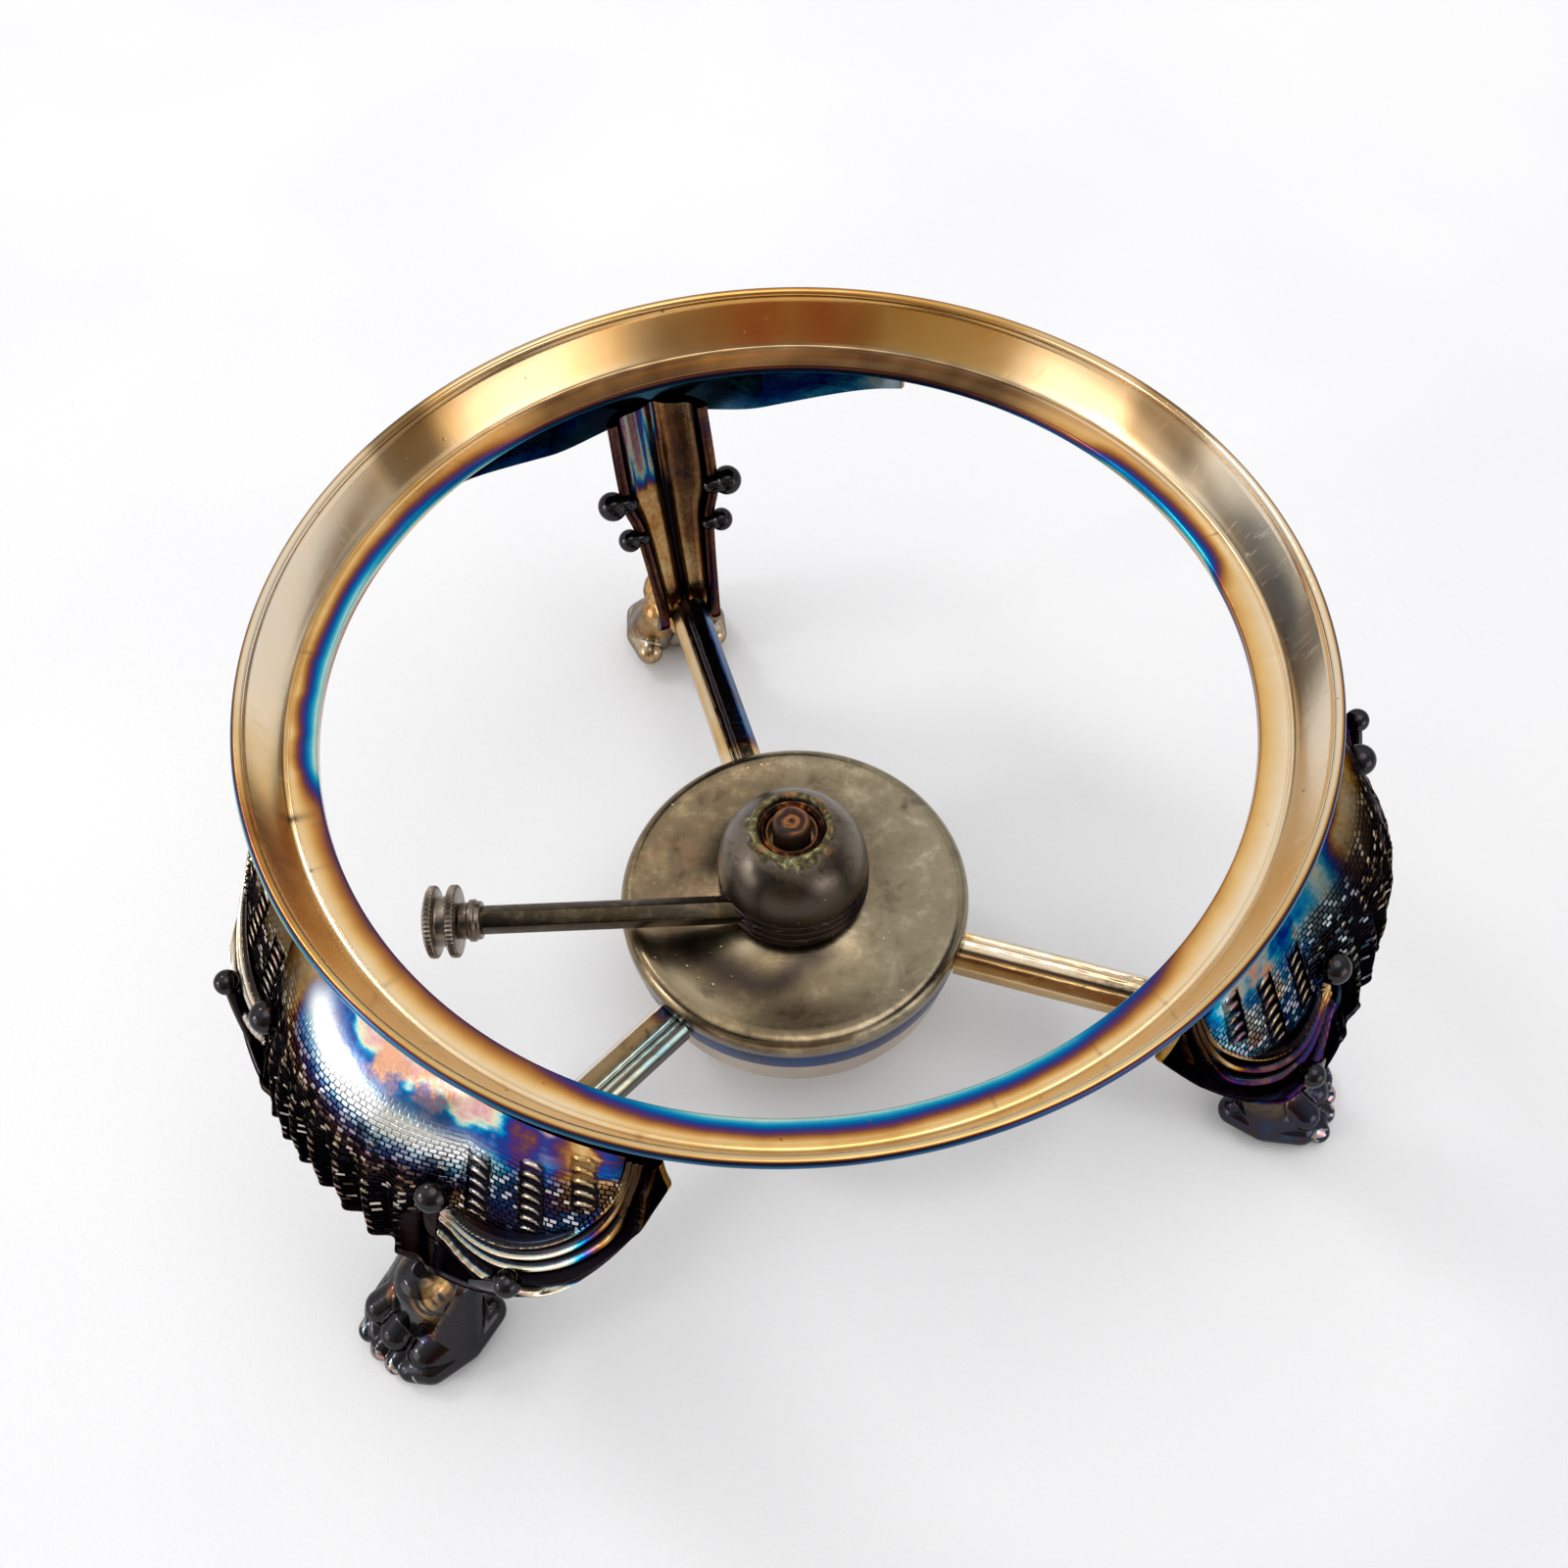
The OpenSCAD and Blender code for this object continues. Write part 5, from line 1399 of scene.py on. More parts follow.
def paw_skin():
    """One skin for all three paws: a narrow instep, round knuckles, a long toe each side and claws."""
    heel = (ankle_r + ankle_w * 0.40, 0.0, paw_top - 6.0, ankle_w * 0.34)
    mid = (paw_reach - 17.0, paw_side + 1.0, paw_top - 6.5, 6.8)
    pad = (paw_reach - 14.5, paw_side, floor_z + 7.4, 7.4)
    balls = chain([heel, mid, pad], 24)
    low = floor_z + 3.2
    for s, start in ((-1, 22.0), (1, 22.6)):
        wide = paw_w / 2 - 3.9
        # the long toe at this side, a round knuckle beside it and the web over them
        balls += chain([(paw_reach - start, paw_side + s * (wide - 0.8), floor_z + 6.6, 3.5),
                        (paw_reach - 15.0, paw_side + s * wide, floor_z + 5.2, 3.9),
                        (paw_reach - 7.4, paw_side + s * (wide - 1.6), floor_z + 4.2, 3.8),
                        (paw_reach - 4.6, paw_side + s * (wide - 4.6), low, 3.2)], 14)
        balls += chain([(ankle_r + 13.5, paw_side + s * 4.5, paw_top - 9.0, 5.2),
                        (paw_reach - 15.5, paw_side + s * 6.4, floor_z + 6.8, 6.6),
                        (paw_reach - 9.5, paw_side + s * 6.0, floor_z + 5.2, 5.2)], 14)
        balls += chain([(paw_reach - 15.0, paw_side + s * 4.0, floor_z + 11.0, 3.6),
                        (paw_reach - 10.4, paw_side + s * 6.0, floor_z + 7.4, 3.5)], 10)
    # the raised knuckles of the two middle toes
    balls += chain([(paw_reach - 11.5, paw_side - 5.6, floor_z + 11.4, 3.3),
                    (paw_reach - 7.8, paw_side - 7.0, floor_z + 9.0, 3.6)], 10)
    balls += chain([(paw_reach - 12.5, paw_side - 1.0, floor_z + 12.0, 3.2),
                    (paw_reach - 10.4, paw_side - 1.0, floor_z + 10.6, 3.2),
                    (paw_reach - 7.0, paw_side - 0.6, floor_z + 8.2, 4.0)], 4)
    # the claws, as (distance behind the paw's tip, place across it)
    for back, y in ((2.9, -7.2), (2.3, -2.4), (2.6, 2.0), (4.2, 6.0)):
        balls += chain([(paw_reach - back - 4.0, paw_side + y, low + 1.2, 3.2),
                        (paw_reach - back - 0.4, paw_side + y, low - 0.2, 2.7)], 4)
    pts, faces = fused(balls, voxel=0.30, smooth_passes=2)
    pts[:, 2] = np.clip(pts[:, 2], floor_z, paw_top)
    pts[:, 0] = np.minimum(pts[:, 0], paw_reach)
    return pts, faces


# ---- arms and holder ring ----------------------------------------------------
# across an arm's top, the greatest distance between two points of its outline
arm_spacing = 0.35


def rosy_bar(run, across, low, streak):
    """The first arm: a sooty flat that painted shade darkens towards the ridge, and a rosy ridge with two
    dark grooves; its lower sides carry painted shade.
    """
    flat = zone(across, -0.62, -0.56) * zone(across, 0.10, 0.04)
    film = lerp(0.06, 0.24 + 0.06 * run, flat) + 0.55 * zone(run, 0.10, 0.0) * flat
    ridge = zone(across, 0.06, 0.12)
    film = lerp(film, lerp(1.00, 1.10, zone(run, 0.0, 0.55)), ridge)
    groove = bell(across, 0.39, 0.07) + bell(across, 0.72, 0.09)
    film = film - 0.1 * groove
    # painted shade: the flat darker towards the ridge, and the lower sides darker
    grime = 0.86 * flat * lerp(0.85, 1.0, zone(across, -0.3, 0.06)) + 0.9 * groove
    return film, grime + 0.6 * low + 0.35 * ridge


def straw_bar(run, across, low, streak):
    """The second arm: straw and brown, parted by a dark groove."""
    upper = zone(across, -0.30, -0.22)
    film = lerp(0.34 + 0.08 * streak, 0.17 + 0.05 * streak, upper)
    blotch = zone(wave_noise(run * 14, across * 3, 71), 0.25, 0.5) * zone(run, 0.5, 0.2)
    film = film + 0.2 * blotch * upper
    groove = bell(across, -0.32, 0.12)
    grime = 0.04 + (0.30 + 0.35 * zone(streak, 0.1, 0.4)) * (1 - upper) + 0.75 * groove
    # painted shade: the lower sides darker
    return film, grime + 0.4 * low * (1 + streak) + 0.3 * blotch


def sooty_bar(run, across, low, streak):
    """The third arm: soot over pale blue, with a brown crust along one side and by the burner."""
    film = lerp(0.70, 0.84, zone(across, -0.3, -0.7)) + 0.05 * streak
    crust = zone(across + 0.08 * streak, 0.42, 0.62)
    film = lerp(film, 0.23 + 0.08 * streak, crust)
    near_disc = zone(run, 0.22, 0.08)
    film = lerp(film, 0.24, near_disc)
    grime = lerp(0.93, 0.55, zone(across, -0.2, -0.6)) * (1 - 0.7 * crust) * (1 - 0.5 * near_disc)
    return film, grime


# each arm's leg and its look
ARMS = {"arm_1": ("leg_1", rosy_bar), "arm_2": ("leg_2", straw_bar), "arm_3": ("leg_3", sooty_bar)}


def make_arm(name):
    """Half-hexagon bar with two rounded ridges, from the holder to an ankle."""
    w = arm_w / 2
    outline = rounded(
        [(-w, -arm_h, 0.3), (-w, -arm_h * 0.45, 0.5), (-w * 0.62, 0, 0.45), (w * 0.06, 0, 0.2),
         (w * 0.2, 0.33, 0.3), (w * 0.32, -0.12, 0.15), (w * 0.46, -0.16, 0.2), (w * 0.58, 0.08, 0.25),
         (w * 0.7, -0.5, 0.2), (w, -arm_h * 0.45, 0.5), (w, -arm_h, 0.3)], 4
    )
    spots = [outline[0]]
    for p, q in zip(outline[:-1], outline[1:]):
        parts = max(1, round(math.dist(p, q) / arm_spacing))
        spots += [lerp(np.array(p), np.array(q), (k + 1) / parts) for k in range(parts)]
    outline = np.array(spots)
    start, stop = holder_out_r + 0.15, arm_end_r
    stations = np.linspace(start, stop, 90)
    leg_name, look = ARMS[name]
    seed = 60 + int(name[-1])
    near_top = np.clip((outline[:, 1] + 1.2) / 1.0, 0, 1)
    rows = []
    for x in stations:
        place = np.full(len(outline), x)
        bend = 0.12 * math.sin((x - start) / (stop - start) * math.pi) - 0.12
        ragged = 0.10 * abs(wave_noise(place * 0.9, outline[:, 0] * 2, seed))
        rows.append(np.stack([place, outline[:, 0], arm_top + outline[:, 1] + bend - ragged * near_top], 1))
    rows = np.array(rows)
    run = ((stations - start) / (stop - start))[:, None]
    across = outline[None, :, 0] / w
    # how far down the bar's sides a point is, which the first two looks darken as painted shade
    low = ease((-outline[None, :, 1] - 1.4) / 1.2)
    film, grime = look(run, across, low, wave_noise(run * 3, across * 14, 75))
    form = Form()
    form.grid(rows.transpose(1, 0, 2), closed=True, film=film.T, grime=np.clip(grime, 0, 1).T)
    for k, flip in ((0, True), (-1, False)):
        ring = rows[k]
        centre = ring.mean(0)
        steps = np.linspace(0, 0.98, 4)[:, None, None]
        form.grid(lerp(ring[None], centre[None, None], steps), around=True, flip=flip, film=0.4, grime=0.5)
    return form.piece(
        name + "_bar", "stand", ARM, [name], turned(leg_dirs[leg_name]), sharp=50
    )


def make_holder():
    """Plain band that the burner's pan drops into."""
    form = Form()
    base = holder_top - holder_h
    profile = rounded([(holder_in_r, base, 0.2), (holder_out_r, base, 0.25),
                       (holder_out_r, holder_top, 0.25), (holder_in_r, holder_top, 0.2)], 3)
    lathe(form, profile, 180)
    return form.piece("holder_band", "stand", HOLDER, ["holder_ring"])


# ---- font --------------------------------------------------------------------
def make_pan():
    """Pan that holds the spirit, with a rounded foot."""
    base = font_top - font_h
    corner = pan_r - pan_corner
    outer = arc(corner, base + pan_corner, pan_corner, -90, 0, 12)
    inner = arc(corner, base + pan_corner, pan_corner - font_wall, 0, -90, 12)
    profile = np.concatenate([
        [(0.02, base), (20.0, base + 0.05)], outer,
        [(pan_r, cover_base - 4), (pan_r, cover_base), (pan_r - font_wall, cover_base)],
        inner, [(0.02, base + font_wall)],
    ])
    form = Form()
    lathe(form, profile, 160)
    return form.piece("font_pan_sheet", "font", PAN, ["font_pan"], sharp=40)


def cover_shade_and_band(r, z, a):
    """Painted shade along the cover's foot, where it meets the holder, and a darker bent band on its dish."""
    edge = 0.5 * bell(z, holder_top + 0.7, 0.8)
    deg = np.degrees(a) % 360
    middle = np.interp(deg, (190.0, 225.0, 255.0, 275.0, 310.0), (27.0, 24.5, 24.0, 18.0, 17.0))
    band = bell(r, middle, 4.0) * zone(deg, 190.0, 208.0) * zone(deg, 312.0, 280.0)
    return np.clip(edge + band * (z > font_top - cover_dish - 1), 0, 1)


def cover_highlights(r, z, a):
    """Painted highlights on the cover."""
    deg = np.degrees(a) % 360
    spot = 0.8 * bell(r, 17.0, 2.6) * bell(deg, 229.0, 13.0)
    sweep = 0.55 * bell(r, 32.5, 2.4) * bell(deg, 226.0, 26.0)
    back = 0.15 * bell(r, 24.0, 5.0) * bell(deg, 300.0, 22.0)
    return np.clip(spot + sweep + back, 0, 1)


def cover_rust(r, z, a):
    """A rusty patch beside the handle."""
    deg = np.degrees(a) % 360
    return 0.7 * bell(r, 28.0, 6.0) * bell(deg, 172.0, 26.0)


def cover_dents(r, z, a):
    """Shallow dents in the dish."""
    dent = 0.16 * wave_noise(r * 0.09 + np.cos(a) * 2.2, np.sin(a) * 2.2, 81)
    weight = np.clip((r - flange_r - 0.6) / 5, 0, 1) * np.clip((cover_r - 1.5 - r) / 3, 0, 1)
    beaten = np.minimum(z + (dent - 0.1) * weight, font_top)
    return r, np.where(z > font_top - cover_dish - 0.6, beaten, z)


def make_cover():
    """Dished cover with a rolled shoulder that overhangs the pan."""
    hole = neck_out_r + 0.15
    shoulder_r = cover_r - cover_shoulder
    dish = [(lerp(flange_r + 1, shoulder_r, t), font_top - cover_dish * math.sin(math.pi * t) ** 1.1)
            for t in np.linspace(0, 1, 16)[:-1]]
    shoulder = arc(shoulder_r, font_top - cover_shoulder, cover_shoulder, 92, 0, 12)
    profile = np.concatenate([
        [(hole, font_top), (flange_r, font_top)], dish, shoulder,
        [(cover_r, holder_top + 0.5), (cover_r - 0.2, holder_top + 0.05), (cover_r - 0.8, holder_top + 0.02),
         (cover_r - 1.6, holder_top + 0.1), (cover_r - 1.6, cover_base), (hole, font_top - 1.2)],
    ])
    form = Form()
    lathe(form, profile[::-1], 240, cover_dents, grime=cover_shade_and_band, shine=cover_highlights, rust=cover_rust)
    return form.piece("font_cover_sheet", "font", COVER, ["font_cover"], sharp=50)


def make_neck():
    """Flanged neck that takes the burner head's plug."""
    top = font_top + flange_t_neck
    foot = font_top - 7
    profile = rounded([
        (neck_bore_r, foot, 0.1), (neck_out_r, foot, 0.1), (neck_out_r, font_top, 0.05),
        (flange_r, font_top, 0.15), (flange_r, top, 0.25), (neck_bore_r, top, 0.15)], 3)
    form = Form()
    lathe(form, profile, 120)
    return form.piece("font_neck_turned", "font", COVER, ["font_neck"], sharp=40)


# ---- burner head -------------------------------------------------------------
def make_collar():
    """Ribbed collar with the plug that fits the neck."""
    rib_pitch = collar_h / (rib_count + 0.4)
    rib_r = rib_pitch * 0.34
    side = [(collar_r, head_z)]
    for i in range(rib_count):
        zc = head_z + rib_pitch * (i + 0.7)
        side.append((collar_r, zc - rib_r - 0.12))
        side += [tuple(p) for p in arc(collar_r, zc, rib_r, -84, 84, 9)]
        side.append((collar_r, zc + rib_r + 0.12))
    side.append((collar_r, dome_z))
    plug_r = neck_bore_r - 0.06
    plug_in_r = neck_bore_r - 1.5
    profile = [(plug_in_r, plug_z), (plug_r, plug_z), (plug_r, head_z)] + side
    profile += [(collar_r - 2.2, dome_z), (collar_r - 2.2, head_z + 1.5), (plug_in_r, head_z + 1.5)]
    form = Form()
    lathe(form, profile, 160)
    return form.piece("head_collar_ribs", "head", COLLAR, ["head_collar"], sharp=45)


def crusted(r, z, a):
    """Lumps of burnt crust round the dome's mouth, and faint dents below."""
    up = ease((z - dome_z - mouth_h + 3.0) / 3.0)
    lumps = 0.22 * wave_noise(np.cos(a) * r * 1.6, np.sin(a) * r * 1.6 + z, 91, 4) - 0.22
    shallow = 0.05 * wave_noise(np.cos(a) * 3, np.sin(a) * 3 + z * 0.3, 93) - 0.05
    return r * (1 + lerp(shallow, lumps, up) / dome_r), z + 0.5 * up * lumps


def crust_mark(r, z, a):
    """Verdigris and rust with a ragged lower edge, lower at the front."""
    high = (z - dome_z) / mouth_h
    wide = wave_noise(np.cos(a) * 5, np.sin(a) * 5, 95)
    fine = wave_noise(np.cos(a) * 14, np.sin(a) * 14, 96)
    edge = high + 0.06 * wide + 0.03 * fine + 0.06 * np.clip(-np.sin(a), 0, 1)
    return np.clip((edge - 0.86) / 0.16, 0, 1) * (r > dome_mouth_r - 0.3)


def shade_mark(r, z, a):
    """The darker lower front of the dome."""
    ragged = 0.15 * wave_noise(np.cos(a) * 4, np.sin(a) * 4 + z * 0.2, 97)
    return 0.7 * zone(-np.sin(a) + ragged, 0.1, 0.7) * zone((z - dome_z) / mouth_h + ragged, 0.9, 0.55)


def burnt_mark(r, z, a):
    """The ledge of burnt deposit inside the mouth."""
    return zone(r, dome_mouth_r - 0.2, dome_mouth_r - 0.7)


def make_dome():
    """Open-topped dome with a thick lip and a burnt ledge in its mouth."""
    mouth_angle = math.degrees(math.atan2(mouth_h, dome_mouth_r))
    lip_r = dome_wall * 0.8
    outer = arc(0, dome_z, dome_r, 0, mouth_angle - 5, 40)
    lip = arc(dome_mouth_r + lip_r, dome_z + mouth_h - lip_r * 0.6, lip_r, 30, 250, 14)
    inner = arc(0, dome_z, dome_r - dome_wall, mouth_angle - 5, 0, 24)
    ledge_in = wick_r + 0.35 + 2 * tube_wall
    ledge_z = dome_z + mouth_h - 1.2
    ledge = [
        (lerp(dome_mouth_r - 0.6, ledge_in, t), ledge_z - 0.4 * math.sin(math.pi * t))
        for t in np.linspace(0, 1, 7)
    ]
    ledge += [(ledge_in, ledge_z - 0.8), (dome_mouth_r, ledge_z - 0.9)]
    profile = np.concatenate([outer, lip, ledge, inner])
    form = Form()
    lathe(form, profile, 200, crusted, crust=crust_mark, burnt=burnt_mark, shade=shade_mark)
    return form.piece("dome_shell", "head", DOME, ["dome"])


def make_guide_tube():
    """Tube that the wick's carrier slides in."""
    tube_in = wick_r + 0.05 + tube_wall + 0.06
    tube_out = tube_in + tube_wall
    tube_base = plug_z - 6.0
    profile = rounded([(tube_in, tube_base, 0.1), (tube_out, tube_base, 0.1),
                       (tube_out, tube_top, 0.2), (tube_in, tube_top, 0.2)], 3)
    form = Form()
    lathe(form, profile, 96)
    return form.piece("wick_guide_tube", "head", BURNT, ["wick_tube"], sharp=40)


def wick_fray(r, z, a):
    """The uneven top of the wick."""
    return r, z - np.where(z > wick_top - 1.2, 0.1 * (1 + np.sin(a * 2 + r * 3)), 0)


def wick_char(r, z, a):
    """The black rim of the wick."""
    return 0.95 * zone(r, wick_r - 0.7, wick_r - 0.2)


def make_wick():
    """Cotton wick with a charred, frayed top."""
    above_pan = 5.0
    base = font_top - font_h + font_wall + above_pan
    profile = [(0.02, base), (wick_r, base), (wick_r, wick_top - 1.6), (wick_r - 0.25, wick_top - 0.8)]
    profile += [(wick_r - 0.9, wick_top - 0.25), (wick_r - 1.6, wick_top - 0.1)]
    rings = (1.9, 1.5, 1.1, 0.7, 0.35, 0.02)
    profile += [(r, wick_top - 0.12 - 0.25 * math.sin(r * 2.6) ** 2) for r in rings]
    form = Form()
    lathe(form, profile, 64, wick_fray, charred=wick_char)
    return form.piece("wick_end", "wick_lift", WICK, ["wick"])


ALONG_HANDLE = np.array([[0, 0, -1.0], [0, 1.0, 0], [1.0, 0, 0]])


def handle_axis(x):
    """Axis from the burner out along -X, with its zero at x."""
    return ALONG_HANDLE, np.array([x, spindle_y, spindle_z])


def make_handle():
    """Six-sided tube that the spindle runs in."""
    rod_start = 11.4
    corner_r = handle_af / 2 / math.cos(math.pi / 6)
    corners = [
        (corner_r * math.cos(a), corner_r * math.sin(a), 0.28)
        for a in (math.radians(60 * k + 30) for k in range(6))
    ]
    hexagon = rounded(corners, 3)
    xs = np.linspace(rod_start, handle_reach, 40)
    rows = np.array([[(-x, spindle_y + y, spindle_z + z) for y, z in hexagon] for x in xs])
    form = Form()
    form.grid(rows, around=True, flip=True)
    inward = np.array([0, 0.5, 0.98])[:, None, None]
    for ring, flip in ((rows[0], False), (rows[-1], True)):
        form.grid(lerp(ring[None], ring.mean(0)[None, None], inward), around=True, flip=flip)
    return form.piece("handle_rod", "head", ROD, ["handle_tube"], sharp=35)


def make_ferrule():
    """Turned end of the handle tube."""
    r = ferrule_d / 2
    profile = rounded([
        (1.1, 0.0, 0.05), (r - 0.5, 0.0, 0.25), (r - 0.35, 1.1, 0.2), (r, 1.3, 0.2), (r, 2.5, 0.2),
        (r - 0.6, 2.7, 0.2), (r - 0.6, ferrule_l, 0.3), (1.1, ferrule_l, 0.05)], 3)
    form = Form()
    lathe(form, profile, 96, axis=handle_axis(-handle_reach), grime=0.35)
    return form.piece("handle_ferrule_turned", "head", KNOB, ["handle_ferrule"], sharp=35)


def knurled(r, z, a):
    """Grooves cut across the rims of the knob's flanges."""
    rim = ease((r - knob_r + 0.9) / 0.5)
    cut = 0.34 * (0.5 - 0.5 * np.cos(a * knurl_count)) ** 0.7
    return r - cut * rim, z


def knurl_darkening(r, z, a):
    """Darker in the knurl's grooves and between the flanges."""
    rim = ease((r - knob_r + 1.3) / 0.5)
    low = (0.5 - 0.5 * np.cos(a * knurl_count)) * rim * 0.7
    gap = 0.5 * bell(z, flange_t + flange_gap / 2, 1.2) * zone(r, knob_r - 0.6, knob_r - 1.1)
    return np.clip(low + gap, 0, 1)


def make_knob():
    """Regulator knob: two knurled flanges with a groove between, and a domed face."""
    far = 2 * flange_t + flange_gap
    groove = knob_d * 0.35
    second = flange_t + flange_gap
    profile = rounded([
        (1.02, 0.0, 0.05), (knob_r - 0.3, 0.0, 0.35), (knob_r, 0.35, 0.15), (knob_r, flange_t - 0.35, 0.15),
        (knob_r - 0.4, flange_t, 0.3), (groove, flange_t + 0.1, 0.3), (groove, second - 0.1, 0.3),
        (knob_r - 0.4, second, 0.3), (knob_r, second + 0.35, 0.15),
        (knob_r, far - 0.35, 0.2), (knob_r - 0.8, far + 0.05, 0.5), (knob_r - 3.5, far + 0.85, 0.8),
        (1.5, far + 1.15, 0.5), (0.02, far + 1.15, 0)], 4)
    knob_gap = 0.2
    axis = handle_axis(-(handle_reach + ferrule_l + knob_gap))
    points_per_groove = 10
    form = Form()
    lathe(
        form, profile, knurl_count * points_per_groove, knurled,
        axis=axis, open_ends=True, grime=knurl_darkening,
    )
    return form.piece("regulator_knob_knurled", "winder", KNOB, ["regulator_knob"], sharp=60)


# ---- build -------------------------------------------------------------------
make_ring()
paw = paw_skin()
for leg_name in leg_dirs:
    make_shell(leg_name)
    make_shank(leg_name)
    make_paw(leg_name, paw)
for arm_name in ARMS:
    make_arm(arm_name)
for make_piece in (
    make_holder, make_pan, make_cover, make_neck, make_collar, make_dome, make_guide_tube, make_wick,
    make_handle, make_ferrule, make_knob,
):
    make_piece()

# pieces that are shown by their own solids
kept_solids = {
    "neck_gasket": FELT, "wadding": COTTON, "spindle_bush": BRASS, "spindle": STEEL,
    "pinion": BRASS, "knob_pin": STEEL, "wick_carrier": BRASS,
}
for node_name, material in kept_solids.items():
    mesh = nodes[node_name].data
    mesh.materials.clear()
    mesh.materials.append(material)


# ---- stage -------------------------------------------------------------------
def make_floor():
    """Pale cloth under the feet, wide enough to fill the view."""
    half_side = 1.6
    n = 60
    mesh = bpy.data.meshes.new("table_cloth")
    line = np.linspace(-half_side, half_side, n)
    pts = [(x, y, floor_z * METRE) for y in line for x in line]
    corners = [j * n + i for j in range(n - 1) for i in range(n - 1)]
    mesh.from_pydata(pts, [], [(c, c + 1, c + n + 1, c + n) for c in corners])
    mesh.shade_smooth()
    obj = bpy.data.objects.new("table_cloth", mesh)
    bpy.context.scene.collection.objects.link(obj)
    f = Finish("pale_cloth", metallic=0.0)
    weave = f.noise(1500.0, 2.0)
    colour = f.ramp(f.noise(6.0, 2.0), [(0.3, (0.80, 0.80, 0.815)), (0.7, (0.84, 0.84, 0.85))])
    rough = f.maths("MULTIPLY_ADD", weave, 0.05, 0.85)
    mesh.materials.append(f.end(colour, rough, f.maths("ADD", weave, f.noise(12.0, 2.0)), 0.1))


def soft_lamp(name, place, aim, size, power):
    """A round white lamp of this size in metres, turned towards aim."""
    data = bpy.data.lights.new(name, "AREA")
    data.shape = "DISK"
    data.size = size
    data.energy = power
    obj = bpy.data.objects.new(name, data)
    bpy.context.scene.collection.objects.link(obj)
    obj.location = place
    obj.rotation_mode = "QUATERNION"
    obj.rotation_quaternion = (Vector(aim) - Vector(place)).to_track_quat("-Z", "Y")


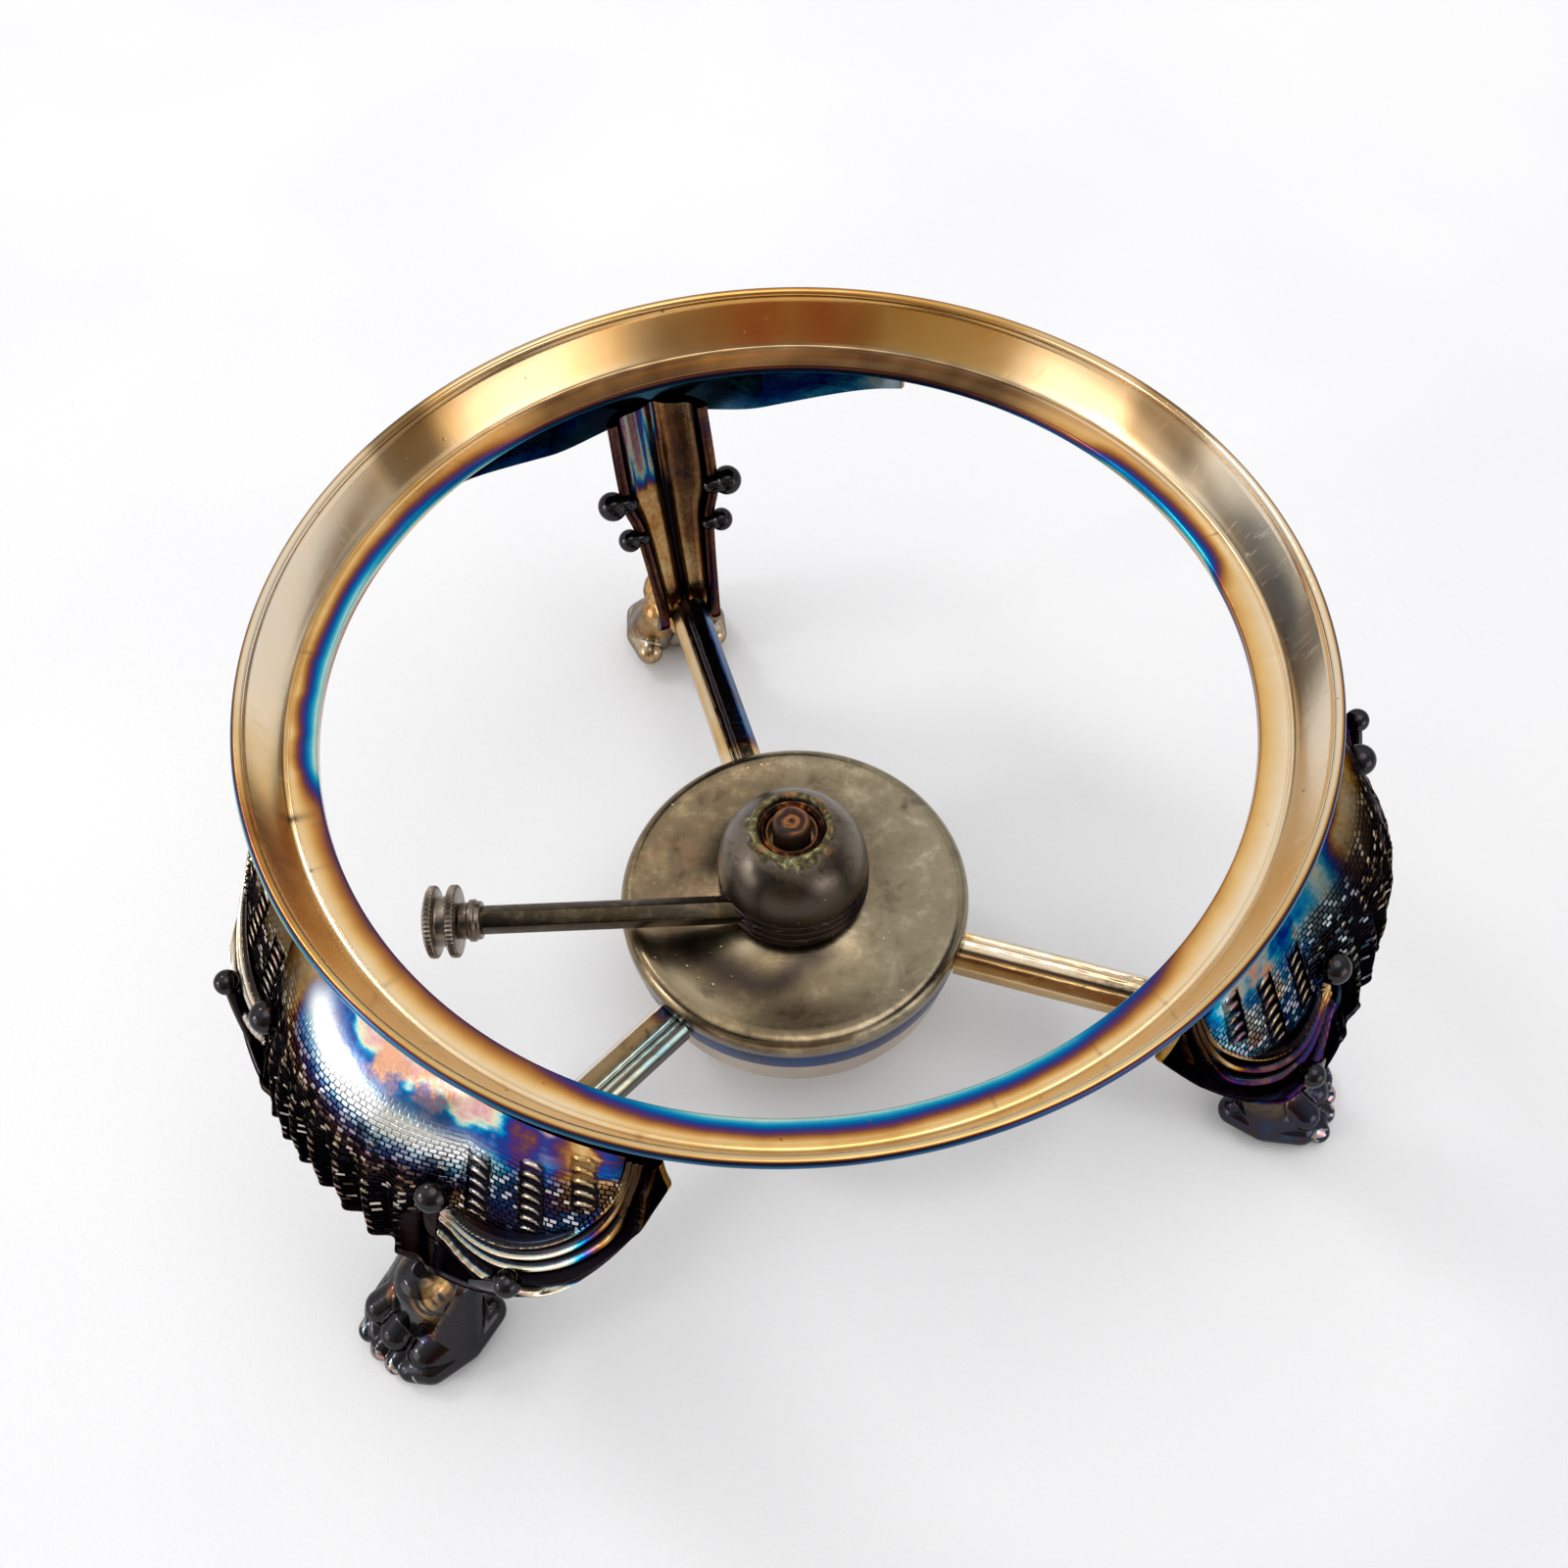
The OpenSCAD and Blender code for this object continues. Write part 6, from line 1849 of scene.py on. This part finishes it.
def make_world():
    """A soft room with two tall windows, warm and darker between them, seen as a plain pale backdrop."""
    world = bpy.data.worlds.new("soft_room")
    bpy.context.scene.world = world
    world.use_nodes = True
    net = Net(world.node_tree)
    net.tree.nodes.clear()
    way = net.add("ShaderNodeSeparateXYZ", {0: net.add("ShaderNodeTexCoord").outputs["Generated"]}).outputs
    turn = net.maths("ARCTAN2", way["Y"], way["X"])
    share = net.maths("MULTIPLY_ADD", turn, 1 / TURN, 0.5)
    # share runs from -X (0) through -Y (0.25), +X (0.5) and +Y (0.75) back to -X
    low = net.ramp(share, [
        (0.00, 1.0), (0.02, 1.8), (0.05, 2.8), (0.09, 2.8), (0.105, 1.4), (0.12, 0.55), (0.18, 0.45),
        (0.195, 0.28), (0.25, 0.36), (0.31, 0.28), (0.325, 0.5), (0.345, 1.8), (0.37, 2.8), (0.42, 2.8),
        (0.44, 1.4), (0.455, 0.5), (0.50, 0.5), (0.60, 0.6), (0.75, 0.6), (0.94, 0.8), (1.00, 1.0),
    ])
    tint = net.ramp(share, [
        (0.10, (1, 1, 1)), (0.13, (1, 0.95, 0.72)), (0.18, (1, 0.92, 0.66)), (0.205, (1, 0.6, 0.4)),
        (0.218, (1, 0.3, 0.2)), (0.235, (1, 0.7, 0.5)), (0.262, (1, 0.35, 0.25)), (0.28, (1, 0.8, 0.6)),
        (0.34, (1, 1, 1)),
    ])
    low = net.mix(1.0, low, tint, "MULTIPLY")
    high = net.ramp(share, [
        (0.0, 1.2), (0.12, 0.6), (0.25, 0.3), (0.4, 0.5), (0.6, 0.9), (0.85, 0.9), (0.95, 1.1), (1.0, 1.2),
    ])
    above = net.ramp(way["Z"], [(0.30, 0.0), (0.52, 1.0)])
    crown = net.ramp(way["Z"], [(0.76, 0.0), (0.86, 1.0)])
    colour = net.mix(above, low, high)
    colour = net.mix(crown, colour, (1.02, 1.02, 1.03))
    seen = net.add("ShaderNodeLightPath").outputs["Is Camera Ray"]
    backdrop = (0.90, 0.90, 0.905)
    colour = net.mix(seen, colour, backdrop)
    back = net.add("ShaderNodeBackground", {"Color": colour, "Strength": 1.0})
    out = net.add("ShaderNodeOutputWorld")
    net.tree.links.new(back.outputs[0], out.inputs["Surface"])


def make_camera():
    """Looks down on the ring from the front, turned a little off its centre."""
    distance = 0.272
    elevation = math.radians(50.14)
    pan, tilt, roll = (math.radians(v) for v in (-0.21, -5.32, -2.43))
    sensor_width = 36.0
    frame_width_px = 1600
    focal_px = 1596.4
    ring_centre = np.array([0, 0, rim_z * METRE])
    back = np.array([0, -distance * math.cos(elevation), distance * math.sin(elevation)])
    ahead = -back / np.linalg.norm(back)
    right = np.array([1.0, 0, 0])
    up = np.cross(right, ahead)
    ahead = ahead * math.cos(pan) + right * math.sin(pan)
    right = np.cross(ahead, up)
    ahead = ahead * math.cos(tilt) + up * math.sin(tilt)
    up = np.cross(right, ahead)
    side = right * math.cos(roll) + up * math.sin(roll)
    up = -right * math.sin(roll) + up * math.cos(roll)
    place = ring_centre + back
    data = bpy.data.cameras.new("viewpoint")
    data.sensor_width = sensor_width
    data.lens = focal_px / frame_width_px * sensor_width
    data.clip_start = 0.01
    camera = bpy.data.objects.new("viewpoint", data)
    bpy.context.scene.collection.objects.link(camera)
    camera.matrix_world = Matrix((
        (side[0], up[0], -ahead[0], place[0]),
        (side[1], up[1], -ahead[1], place[1]),
        (side[2], up[2], -ahead[2], place[2]),
        (0, 0, 0, 1),
    ))
    bpy.context.scene.camera = camera


make_floor()
make_world()
soft_lamp("low_window", (-1.7, -0.44, 0.56), (0, 0, -0.03), 0.34, 5.0)
soft_lamp("high_window", (-1.2, 0.9, 1.9), (0, 0, -0.05), 0.5, 8.0)
soft_lamp("overhead", (0.5, -0.3, 2.4), (0, 0, -0.05), 1.8, 13.5)
make_camera()
bpy.context.scene.view_settings.view_transform = "Standard"
